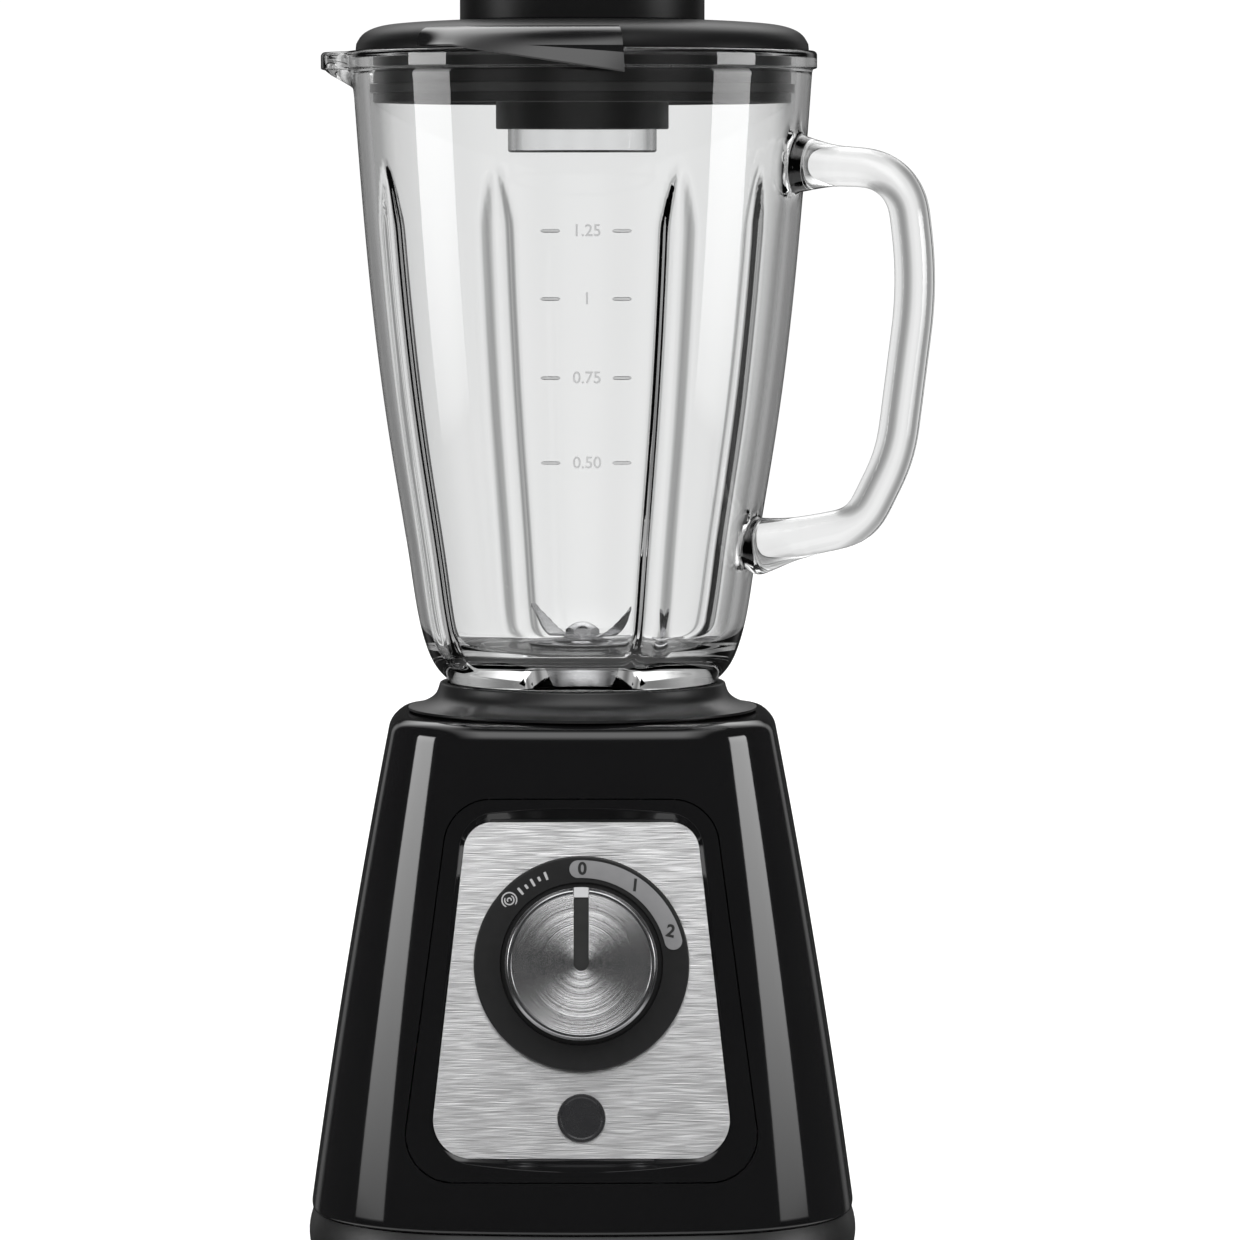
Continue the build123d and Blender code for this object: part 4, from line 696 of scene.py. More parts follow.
# ---------------------------------------------------------------- palette
class Palette:
    """Every material of the object, built once."""

    def __init__(self) -> None:
        """Build the finishes."""
        out = tuple(float(v) for v in PANEL.out)
        up = tuple(float(v) for v in PANEL.up)
        centre = tuple(float(v) for v in PANEL.origin)
        black = grey(0.003, 0.0032)
        finishes = [
            Finish("casing_gloss", grey(0.0042, 0.0044), black, 0, 0.05, 0.08, 260, 0.000004),
            Finish("bezel_gloss", grey(0.0042, 0.0044), black, 0, 0.06, 0.10, 260, 0.000004),
            Finish("matt_black", grey(0.0075, 0.0077), grey(0.005, 0.0052), 0, 0.30, 0.40, 2600, 0.000018,
                   specular=0.4),
            Finish("lid_satin", grey(0.0055, 0.0057), grey(0.004, 0.0041), 0, 0.34, 0.42, 1800, 0.000008,
                   specular=0.14),
            Finish("tab_satin", grey(0.0055, 0.0057), grey(0.004, 0.0041), 0, 0.14, 0.20, 1800, 0.000006),
            Finish("tray_black", grey(0.010), grey(0.007), 0, 0.38, 0.48, 2600, 0.00002, specular=0.4),
            Finish("dial_black", grey(0.010, 0.0103), grey(0.007, 0.0073), 0, 0.34, 0.44, 3200, 0.000012,
                   specular=0.35),
            Finish("scale_grey", grey(0.155, 0.158), grey(0.125, 0.128), 0, 0.42, 0.52, 2200, 0.000006),
            Finish("print_black", grey(0.012), grey(0.008), 0, 0.45, 0.55, 2200, 0.000004),
            Finish("print_pale", grey(0.30, 0.303), grey(0.25, 0.253), 0, 0.45, 0.55, 2200, 0.000004),
            Finish("badge_black", grey(0.015, 0.016), grey(0.010, 0.011), 0, 0.22, 0.32, 1800, 0.000006),
            Finish("rim_steel", grey(0.52, 0.53), grey(0.42, 0.43), 1, 0.18, 0.28, 1600, 0.000004),
            Finish("knob_dark", grey(0.016), grey(0.010), 0, 0.3, 0.4, 2000, 0.000006),
            Finish("index_milky", grey(0.34, 0.345), grey(0.27, 0.275), 0, 0.25, 0.35, 900, 0.000006),
            Finish("rubber", grey(0.024), grey(0.014), 0, 0.55, 0.7, 1500, 0.00003),
            Finish("moulded_dark", grey(0.03), grey(0.018), 0, 0.38, 0.5, 1400, 0.00002),
            Finish("fan_nylon", grey(0.42, 0.41), grey(0.33, 0.32), 0, 0.4, 0.52, 900, 0.00002),
            Finish("zinc", grey(0.62, 0.63), grey(0.46, 0.47), 1, 0.22, 0.36, 1200, 0.00001),
            Finish("ground_steel", grey(0.62, 0.63), grey(0.50, 0.51), 1, 0.16, 0.28, 1500, 0.000006,
                   stretch=(1.0, 1.0, 12.0)),
            Finish("blade_steel", grey(0.66, 0.67), grey(0.52, 0.53), 1, 0.18, 0.30, 1800, 0.000008,
                   stretch=(4.0, 1.0, 1.0)),
            Finish("laminated_steel", grey(0.26, 0.27), grey(0.12, 0.125), 1, 0.35, 0.5, 300, 0.00004,
                   stretch=(0.2, 0.2, 8.0)),
            Finish("copper_wire", (0.62, 0.26, 0.10), (0.36, 0.13, 0.05), 1, 0.25, 0.4, 700, 0.00008,
                   stretch=(1.0, 1.0, 4.0)),
            Finish("turned_copper", (0.70, 0.36, 0.20), (0.50, 0.24, 0.13), 1, 0.22, 0.34, 1500, 0.00001),
            Finish("bronze", (0.52, 0.33, 0.15), (0.36, 0.22, 0.09), 1, 0.35, 0.5, 1500, 0.00001),
            Finish("brass", (0.68, 0.48, 0.19), (0.5, 0.34, 0.13), 1, 0.25, 0.4, 1200, 0.00001),
            Finish("cast_alloy", grey(0.52, 0.53), grey(0.38, 0.39), 1, 0.42, 0.58, 900, 0.00006),
            Finish("carbon", grey(0.03, 0.032), grey(0.012, 0.013), 0, 0.5, 0.65, 1800, 0.00002),
            Finish("board_green", (0.015, 0.13, 0.04), (0.01, 0.09, 0.03), 0, 0.25, 0.4, 600, 0.00001),
            Finish("capacitor_yellow", (0.55, 0.38, 0.06), (0.45, 0.3, 0.04), 0, 0.25, 0.38, 700, 0.00001),
            BrushedSteel("plate_steel", up),
            SpunSteel("spun_steel", centre, out),
            ClearFinish("jug_glass", (0.985, 0.992, 0.99)),
            ClearFinish("cup_clear", (0.95, 0.955, 0.96), 0.02, 1.47),
            ClearFinish("moulded_glass", grey(0.80), 0.38),
        ]
        self.named = {finish.name: finish.material() for finish in finishes}

    def __getitem__(self, name: str) -> bpy.types.Material:
        """The material with that name."""
        return self.named[name]


# ---------------------------------------------------------------- casing
@dataclass
class CasingForm:
    """The tapered casing as a field: its plan at every height, and its surface anywhere. Millimetres.

    The plan at a height is four bowed sides, arcs of one radius, joined by round corners.
    """

    foot_z: float = 20.8
    top_z: float = 178.5
    foot: tuple[float, float, float] = (87.0, 76.0, 54.0)
    deck: tuple[float, float, float] = (61.0, 57.0, 32.0)
    bow: float = 290.0
    swell: float = 1.2

    def sizes(self, z: Array) -> tuple[Array, Array, Array]:
        """Half width, half depth and corner radius at heights: linear, plus a parabola for the swell."""
        t = (z - self.foot_z) / (self.top_z - self.foot_z)
        grow = self.swell * 4 * t * (1 - t)
        wide, deep, corner = (a + (b - a) * t for a, b in zip(self.foot, self.deck))
        return wide + grow, deep + grow, corner

    def corner_centre(self, wide: Array, deep: Array, corner: Array) -> tuple[Array, Array]:
        """Centre of the front right corner arc: bow minus corner away from both side arcs' centres."""
        ay, bx, reach = self.bow - deep, self.bow - wide, self.bow - corner
        slope, shift = bx / ay, (bx**2 - ay**2) / (2 * ay)
        a, b, c = 1 + slope**2, 2 * (bx + slope * shift), bx**2 + shift**2 - reach**2
        x = (-b + np.sqrt(b * b - 4 * a * c)) / (2 * a)
        return x, slope * x + shift

    def plan(self, z: Array, inset: Array, steps: int = 22) -> Array:
        """The plan drawn in by inset, one row for each height.

        Args:
            z: heights, n.
            inset: how far each row is drawn in, n.
            steps: columns in each half side and each corner.

        Returns:
            n x columns x 3 points: a point on an arc is its centre plus its radius along the bearing.
        """
        wide, deep, corner = self.sizes(z)
        cx, cy = self.corner_centre(wide, deep, corner)
        ay, bx = self.bow - deep, self.bow - wide
        alpha, beta = np.arctan2(cx, cy + ay), np.arctan2(cx + bx, cy)
        zero, quarter = np.zeros_like(alpha), np.full_like(alpha, np.pi / 2)
        spans = [(zero, alpha, 0 * cx, -ay, self.bow), (alpha, beta, cx, cy, corner),
                 (beta, quarter, -bx, 0 * cy, self.bow)]
        parts = []
        share = np.linspace(0, 1, steps, endpoint=False)[None, :]
        for start, end, x0, y0, radius in spans:
            bearing = start[:, None] + (end - start)[:, None] * share
            reach = (radius - inset)[:, None]
            parts.append(np.stack([np.asarray(x0)[:, None] + reach * np.sin(bearing),
                                   np.asarray(y0)[:, None] + reach * np.cos(bearing)], axis=-1))
        side = np.stack([wide - inset, 0 * wide], axis=-1)[:, None, :]
        quadrant = np.concatenate([*parts, side], axis=1)
        quadrant[..., 1] *= -1
        right = np.concatenate([quadrant, quadrant[:, -2::-1] * (1, -1)], axis=1)
        left = right[:, -2:0:-1] * (-1, 1)
        ring = np.concatenate([right, left], axis=1)
        height = np.broadcast_to(z[:, None, None], (*ring.shape[:2], 1))
        return np.concatenate([ring, height], axis=-1)

    def distance(self, points: Array) -> Array:
        """How far points are outside the plan at their own height, measured level."""
        x, y, z = np.abs(points[..., 0]), np.abs(points[..., 1]), points[..., 2]
        wide, deep, corner = self.sizes(z)
        cx, cy = self.corner_centre(wide, deep, corner)
        ay, bx = self.bow - deep, self.bow - wide
        front = np.hypot(x, y + ay) - self.bow
        side = np.hypot(x + bx, y) - self.bow
        bend = np.hypot(x - cx, y - cy) - corner
        on_front = np.arctan2(x, y + ay) < np.arctan2(cx, cy + ay)
        on_side = np.arctan2(x + bx, y) > np.arctan2(cx + bx, cy)
        return np.where(on_front, front, np.where(on_side, side, bend))

    def normal(self, points: Array, step: float = 0.02) -> Array:
        """Outward unit normals, from the distance's differences along each axis."""
        shifts = np.eye(3) * step
        slope = np.stack([self.distance(points + s) - self.distance(points - s) for s in shifts], axis=-1)
        return slope / np.linalg.norm(slope, axis=-1, keepdims=True)

    def meet(self, start: Array, direction: Array) -> Array:
        """Where lines leave the casing, by halving.

        Args:
            start: n x 3 points inside it, in millimetres.
            direction: one vector for each line, or one for all, whose end is outside.

        Returns:
            The share of direction at the surface, n.
        """
        inside = np.zeros(start.shape[:-1])
        outside = np.ones(start.shape[:-1])
        for _ in range(30):
            middle = (inside + outside) / 2
            out = self.distance(start + middle[..., None] * direction) > 0
            inside, outside = np.where(out, inside, middle), np.where(out, middle, outside)
        return inside


FORM = CasingForm()


@dataclass
class Casing:
    """The glossy casing with its deck, vents and inlet hole."""

    wall: float = 3.0
    deck_round: float = 4.5
    foot_round: float = 1.8
    seat_hole: float = 49.95
    vent_count: int = 9
    vent_pitch: float = 7.0
    vent_width: float = 3.0
    vent_low: float = 58.0
    vent_high: float = 92.0
    inlet_radius: float = 6.1

    def skin(self) -> Array:
        """Rows of the plan: a foot round, the tall side, a deck round, then the deck to the seat's hole."""
        turn = np.linspace(0, np.pi / 2, 9)
        foot_z = FORM.foot_z + self.foot_round * (1 - np.cos(turn[:-1]))
        foot_in = self.foot_round * (1 - np.sin(turn[:-1]))
        side_z = np.linspace(FORM.foot_z + self.foot_round, FORM.top_z - self.deck_round, 90)
        deck_z = FORM.top_z - self.deck_round * (1 - np.sin(turn[1:]))
        deck_in = self.deck_round * (1 - np.cos(turn[1:]))
        z = np.concatenate([[FORM.foot_z, FORM.foot_z], foot_z, side_z, deck_z])
        inset = np.concatenate([[self.wall, self.foot_round + 0.4], foot_in, 0 * side_z, deck_in])
        rows = FORM.plan(z, inset)
        edge = rows[-1:]
        ring = edge.copy()
        ring[..., :2] *= self.seat_hole / np.linalg.norm(edge[..., :2], axis=-1, keepdims=True)
        share = np.linspace(0.06, 1, 8)[:, None, None]
        return np.concatenate([rows, edge + (ring - edge) * share])

    def build(self, palette: Palette, bezel_opening: Array) -> None:
        """Make the casing: the skin gets its wall, then the panel's opening, vents and inlet are cut.

        Args:
            palette: the materials.
            bezel_opening: the opening's outline in panel millimetres.
        """
        piece = grid_object("casing_shell", self.skin() * MM, wrap_columns=True)
        wall = piece.modifiers.new("wall", "SOLIDIFY")
        wall.thickness = self.wall * MM
        wall.offset = -1.0
        apply_modifiers(piece)
        boolean(piece, outline_prism("opening", bezel_opening, -14.0, 25.0), Joining.CUT)
        boolean(piece, self.vents(), Joining.CUT)
        boolean(piece, self.inlet_hole(), Joining.CUT)
        self.polish(piece)
        dress(piece, palette["casing_gloss"])
        ride(piece, Body.BASE, "casing", "motor_housing")

    def vents(self) -> bpy.types.Object:
        """The tools that cut the slots: round-ended bars through the back wall, in one mesh."""
        half, low, high = self.vent_width / 2, self.vent_low, self.vent_high
        end = half * 0.98
        loop = rounded([(-half, low, end), (half, low, end), (half, high, end), (-half, high, end)], 5)
        middle = np.broadcast_to(loop.mean(axis=0), loop.shape)
        rows = [(middle, 45.0), (loop, 45.0), (loop, 90.0), (middle, 90.0)]
        bar = np.stack([np.stack([xz[:, 0], np.full(len(xz), y), xz[:, 1]], axis=-1) for xz, y in rows])
        first = -self.vent_pitch * (self.vent_count - 1) / 2
        bars = [grid_object("slot", (bar + (first + self.vent_pitch * i, 0, 0)) * MM, wrap_columns=True)
                for i in range(self.vent_count)]
        work = bmesh.new()
        for one in bars:
            work.from_mesh(one.data)
            bpy.data.objects.remove(one)
        mesh = bpy.data.meshes.new("slots")
        work.to_mesh(mesh)
        work.free()
        return linked("slots", mesh)

    def inlet_hole(self) -> bpy.types.Object:
        """The tool for the cord inlet's hole, placed and sized by the inlet's own box."""
        low, high = (np.array(c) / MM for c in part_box("cord_inlet"))
        angle = np.linspace(0, 2 * np.pi, 40, endpoint=False)
        radius, near, far = self.inlet_radius, low[1] - 8, high[1] + 12
        centre_z = (low + high)[2] / 2
        rows = [(0.0, near), (radius, near), (radius, far), (0.0, far)]
        points = np.stack([np.stack([r * np.cos(angle), 0 * angle + y, centre_z + r * np.sin(angle)], axis=-1)
                           for r, y in rows])
        return grid_object("inlet_tool", points * MM, wrap_columns=True)

    @staticmethod
    def polish(piece: bpy.types.Object) -> None:
        """Give the tall side its exact normals, so that long reflections run clean past every cut."""
        mesh = piece.data
        mesh.shade_smooth()
        mesh.set_sharp_from_angle(angle=SHARP_CREASE)
        count = len(mesh.loops)
        normals = np.zeros(count * 3, np.float32)
        mesh.corner_normals.foreach_get("vector", normals)
        normals = normals.reshape(-1, 3)
        corner = np.zeros(count, np.int32)
        mesh.loops.foreach_get("vertex_index", corner)
        place = mesh_points(mesh)[corner] / MM
        true = FORM.normal(place)
        near = np.abs(FORM.distance(place)) < 0.05
        tall = (place[:, 2] > FORM.foot_z + 2.2) & (place[:, 2] < FORM.top_z - 5.0)
        along = np.sum(true * normals, axis=1) > 0.8
        chosen = near & tall & along
        normals[chosen] = true[chosen]
        mesh.normals_split_custom_set(normals.tolist())


# ---------------------------------------------------------------- control panel
@dataclass
class ControlPanel:
    """Bezel, plate, dial, printed marks and badge, in panel millimetres."""

    bezel_top: float = 51.4
    bezel_foot: float = -68.2
    bezel_top_half: float = 41.4
    bezel_foot_half: float = 57.2
    bezel_corner: float = 15.0
    plate_top: float = 44.1
    plate_foot: float = -60.5
    plate_top_half: float = 35.8
    plate_foot_half: float = 47.6
    plate_top_corner: float = 9.0
    plate_foot_corner: float = 12.0
    plate_thickness: float = 1.5
    depth: float = 4.5
    rise: float = 5.0
    rim: float = 1.2
    seam: float = 0.25
    dial_radius: float = 33.6
    dial_top: float = 1.6
    dial_well: float = 25.2
    scale_radius: float = 29.5
    scale_height: float = 0.32
    badge_y: float = -47.9
    badge_radius: float = 7.5

    def bezel_outline(self, grow: float) -> Array:
        """The bezel's rounded trapezium, grown outwards."""
        return self.trapezium(self.bezel_top + grow, self.bezel_foot - grow, self.bezel_top_half + grow,
                              self.bezel_foot_half + grow, self.bezel_corner + grow, self.bezel_corner + grow)

    def plate_outline(self, grow: float) -> Array:
        """The plate's rounded trapezium, grown outwards."""
        return self.trapezium(self.plate_top + grow, self.plate_foot - grow, self.plate_top_half + grow,
                              self.plate_foot_half + grow, self.plate_top_corner + grow,
                              self.plate_foot_corner + grow)

    @staticmethod
    def trapezium(top: float, foot: float, top_half: float, foot_half: float, top_round: float,
                  foot_round: float, sides: int = 64, arc: int = 26) -> Array:
        """A rounded trapezium with the same count of points on each side and corner, whatever its size.

        Args:
            top: height of the upper side.
            foot: height of the lower side.
            top_half: half the upper width.
            foot_half: half the lower width.
            top_round: radius of the upper corners.
            foot_round: radius of the lower corners.
            sides: points on each straight side.
            arc: points on each corner.

        Returns:
            The outline, n x 2, counter-clockwise from the lower right corner.
        """
        corners = [(foot_half, foot, foot_round), (top_half, top, top_round), (-top_half, top, top_round),
                   (-foot_half, foot, foot_round)]
        xy = np.array([c[:2] for c in corners], float)
        arcs = [corner_arc(xy[k], xy[k - 1] - xy[k], xy[(k + 1) % 4] - xy[k], corners[k][2], arc)
                for k in range(4)]
        share = np.linspace(0, 1, sides)[1:-1, None]
        pieces = []
        for k, arc_points in enumerate(arcs):
            following = arcs[(k + 1) % 4][0]
            pieces += [arc_points, arc_points[-1] + (following - arc_points[-1]) * share]
        return np.concatenate(pieces)

    def lift(self, outline: Array, z: Array | float) -> Array:
        """Panel points of an outline at one height, or at a height for each point."""
        return np.concatenate([outline, np.broadcast_to(z, (len(outline),))[:, None]], axis=1)

    def surface_height(self, outline: Array) -> Array:
        """How high above the panel the casing's surface stands over each point of an outline."""
        below, reach = 12.0, 40.0
        start = PANEL.place(self.lift(outline, -below)) / MM
        return FORM.meet(start, PANEL.out * reach) * reach - below

    def bezel(self, palette: Palette) -> None:
        """The frame: it follows the casing's surface for its rim, then slopes down to the plate's edge."""
        outer = self.bezel_outline(-self.seam)
        dish_top = self.bezel_outline(-self.seam - self.rim)
        inner = self.plate_outline(0.1)
        foot = PANEL.place(self.lift(inner, 0.0)) / MM
        slope = PANEL.place(self.lift(dish_top, self.rise)) / MM - foot
        share = np.clip(FORM.meet(foot, slope), 0.0, 0.96)
        bend = inner + (dish_top - inner) * share[:, None]
        rows = [self.lift(outer, -self.depth), self.lift(outer, self.surface_height(outer) - 0.5)]
        for mix in (0.04, 0.3, 0.65, 0.97):
            step = outer + (bend - outer) * mix
            rows.append(self.lift(step, self.surface_height(step)))
        edge_height = np.minimum(self.surface_height(bend), share * self.rise) - 0.25
        for mix in (0.04, 0.5, 0.97):
            step = bend + (inner - bend) * mix
            rows.append(self.lift(step, edge_height * (1 - mix)))
        rows += [self.lift(inner, z) for z in (-0.15, -self.plate_thickness, -self.depth)]
        piece = grid_object("bezel_frame", PANEL.place(np.stack(rows)), wrap_rows=True, wrap_columns=True)
        dress(piece, palette["bezel_gloss"])
        ride(piece, Body.BASE, "casing", "control_bezel")

    @staticmethod
    def lathe(name: str, corners: Sequence[tuple[float, float, float]], segments: int) -> bpy.types.Object:
        """A closed solid of revolution about the knob's axis, from (r, z, round) corners."""
        points = turned(rounded(corners), segments) / MM
        return grid_object(name, PANEL.place(points), wrap_rows=True, wrap_columns=True)

    def dial(self, palette: Palette) -> None:
        """The dial: a flat ring with a soft outer edge and a stepped well for the knob."""
        r, top = self.dial_radius, self.dial_top
        corners = [(4.6, 0.02, 0), (r - 0.2, 0.02, 0), (r, 0.3, 0), (r, top, 0.6), (self.dial_well, top, 0.3),
                   (self.dial_well, 0.5, 0.1), (4.6, 0.5, 0)]
        piece = self.lathe("dial", corners, segments=220)
        dress(piece, palette["dial_black"])
        ride(piece, Body.BASE, "dial_black", "dial_ring")

    def mark(self, text: str, bearing: float, radius: float, size: float) -> bpy.types.Object:
        """A numeral printed flat on the dial, leaning a little towards its own bearing.

        Args:
            text: the numeral.
            bearing: degrees clockwise from the top.
            radius: its distance from the knob's centre.
            size: height of the letters' body.

        Returns:
            The mesh object.
        """
        aim, lean = math.radians(bearing), math.radians(-bearing * 0.18)

        def place(flat: Array) -> Array:
            """Lean the flat numeral a little, move it along its bearing, and lay it on the dial."""
            x = flat[:, 0] * math.cos(lean) - flat[:, 1] * math.sin(lean) + radius * math.sin(aim)
            y = flat[:, 0] * math.sin(lean) + flat[:, 1] * math.cos(lean) + radius * math.cos(aim)
            return PANEL.place(np.stack([x, y, flat[:, 2] + self.dial_top + self.scale_height], axis=-1))

        return lettering("numeral_" + text, text, size, 0.03, 0.16, 6, place)

    def arc_bar(self, name: str, radius: float, width: float, start: float, end: float,
                centre: tuple[float, float] = (0.0, 0.0)) -> bpy.types.Object:
        """A thin printed bar bent round a centre, with slim rounded edges.

        Args:
            name: the object's name.
            radius: its middle line's radius.
            width: its width.
            start: bearing of its start, degrees clockwise from the top.
            end: bearing of its end.
            centre: the centre it bends round.

        Returns:
            The closed mesh: each row is one corner of the bar's section carried along the arc.
        """
        share = np.linspace(-1, 1, 28)
        bearing = np.radians(np.linspace(start, end, 28))
        pinch = np.sqrt(np.clip(1 - np.abs(share) ** 14, 0.0, 1))
        half = width / 2 * pinch
        low, high = self.dial_top - 0.02, self.dial_top + 0.06
        rows = [(-half, low), (half, low), (half, high), (-half, high)]
        points = np.stack([np.stack([centre[0] + (radius + side) * np.sin(bearing),
                                     centre[1] + (radius + side) * np.cos(bearing),
                                     0 * share + z], axis=-1) for side, z in rows])
        return grid_object(name, PANEL.place(points), wrap_rows=True)

    def prints(self, palette: Palette) -> None:
        """Numerals on the grey scale, and on the left plain dashes and a round swirl for short bursts."""
        black = [self.mark(text, bearing, self.scale_radius, 5.4)
                 for text, bearing in (("0", 0.5), ("1", 34.4), ("2", 70.0))]
        pale = []
        for k, bearing in enumerate((-40.0, -35.5, -31.0, -26.5, -22.0)):
            long, half = 1.5 if k % 2 else 2.6, 0.8
            pale.append(self.arc_bar(f"burst_dash_{k}", self.scale_radius, long, bearing - half,
                                     bearing + half))
        aim, reach = math.radians(-48.5), 30.0
        centre = (reach * math.sin(aim), reach * math.cos(aim))
        for k, (radius, start, end) in enumerate(((2.3, -160, 130), (1.45, 20, 300), (0.6, -150, 120))):
            pale.append(self.arc_bar(f"burst_swirl_{k}", radius, 0.42, start, end, centre))
        for pieces, finish in ((black, "print_black"), (pale, "print_pale")):
            for piece in pieces:
                dress(piece, palette[finish])
                ride(piece, Body.BASE, "scale_grey")

    def badge(self, palette: Palette) -> None:
        """A plain round badge: a shallow dish inside a raised rim."""
        r = self.badge_radius
        corners = [(0, 0.02, 0), (r, 0.02, 0), (r, 0.95, 0.3), (r - 0.9, 0.95, 0.2), (r - 1.3, 0.7, 0.15),
                   (0, 0.78, 0)]
        points = turned(rounded(corners, closed=False), 120) / MM
        points[..., 1] += self.badge_y
        piece = grid_object("plain_badge", PANEL.place(points), wrap_columns=True)
        dress(piece, palette["badge_black"])
        ride(piece, Body.BASE, "badge_black", "badge")

    def build(self, palette: Palette) -> None:
        """Make the bezel, the dial, the printed marks and the badge."""
        self.bezel(palette)
        self.dial(palette)
        self.prints(palette)
        self.badge(palette)


@dataclass
class Knob:
    """The speed knob, in panel millimetres."""

    radius: float = 23.75
    foot: float = 2.0
    top: float = 15.5
    face_radius: float = 21.6
    face_floor: float = 14.5
    notch_half: float = 2.35

    def build(self, panel: ControlPanel, palette: Palette) -> None:
        """The body: a skirt with a dark root, a bright rounded rim, and a floor for the steel face."""
        r, top = self.radius, self.top
        rim = [(r - 2.6, 11.5, 0), (r - 0.5, 11.5, 0), (r - 0.25, 12.0, 0.1), (r - 0.1, 14.2, 0.5),
               (r - 1.0, top, 0.5), (self.face_radius, top, 0.3), (self.face_radius, self.face_floor, 0),
               (r - 2.6, self.face_floor, 0)]
        crown = panel.lathe("knob_rim", rim, segments=220)
        skirt = [(r - 3.2, self.foot, 0), (r - 0.5, self.foot, 0.3), (r - 0.7, 11.6, 0.2), (r - 2.6, 11.6, 0),
                 (r - 2.6, 14.45, 0), (3.05, 14.45, 0), (3.05, self.foot + 1, 0), (6.5, self.foot + 1, 0),
                 (6.5, 11.0, 1.0), (r - 3.2, 11.0, 1.0)]
        body = panel.lathe("knob_skirt", skirt, segments=180)
        half = self.notch_half
        notch = np.array([(-half, 19.0), (half, 19.0), (half, 26.0), (-half, 26.0)])
        boolean(crown, outline_prism("notch", notch, 9.0, 20.0), Joining.CUT)
        dress(crown, palette["rim_steel"])
        dress(body, palette["knob_dark"])
        ride(crown, Body.KNOB, "knob_rim", "knob_body")
        ride(body, Body.KNOB, "knob_rim", "knob_body")


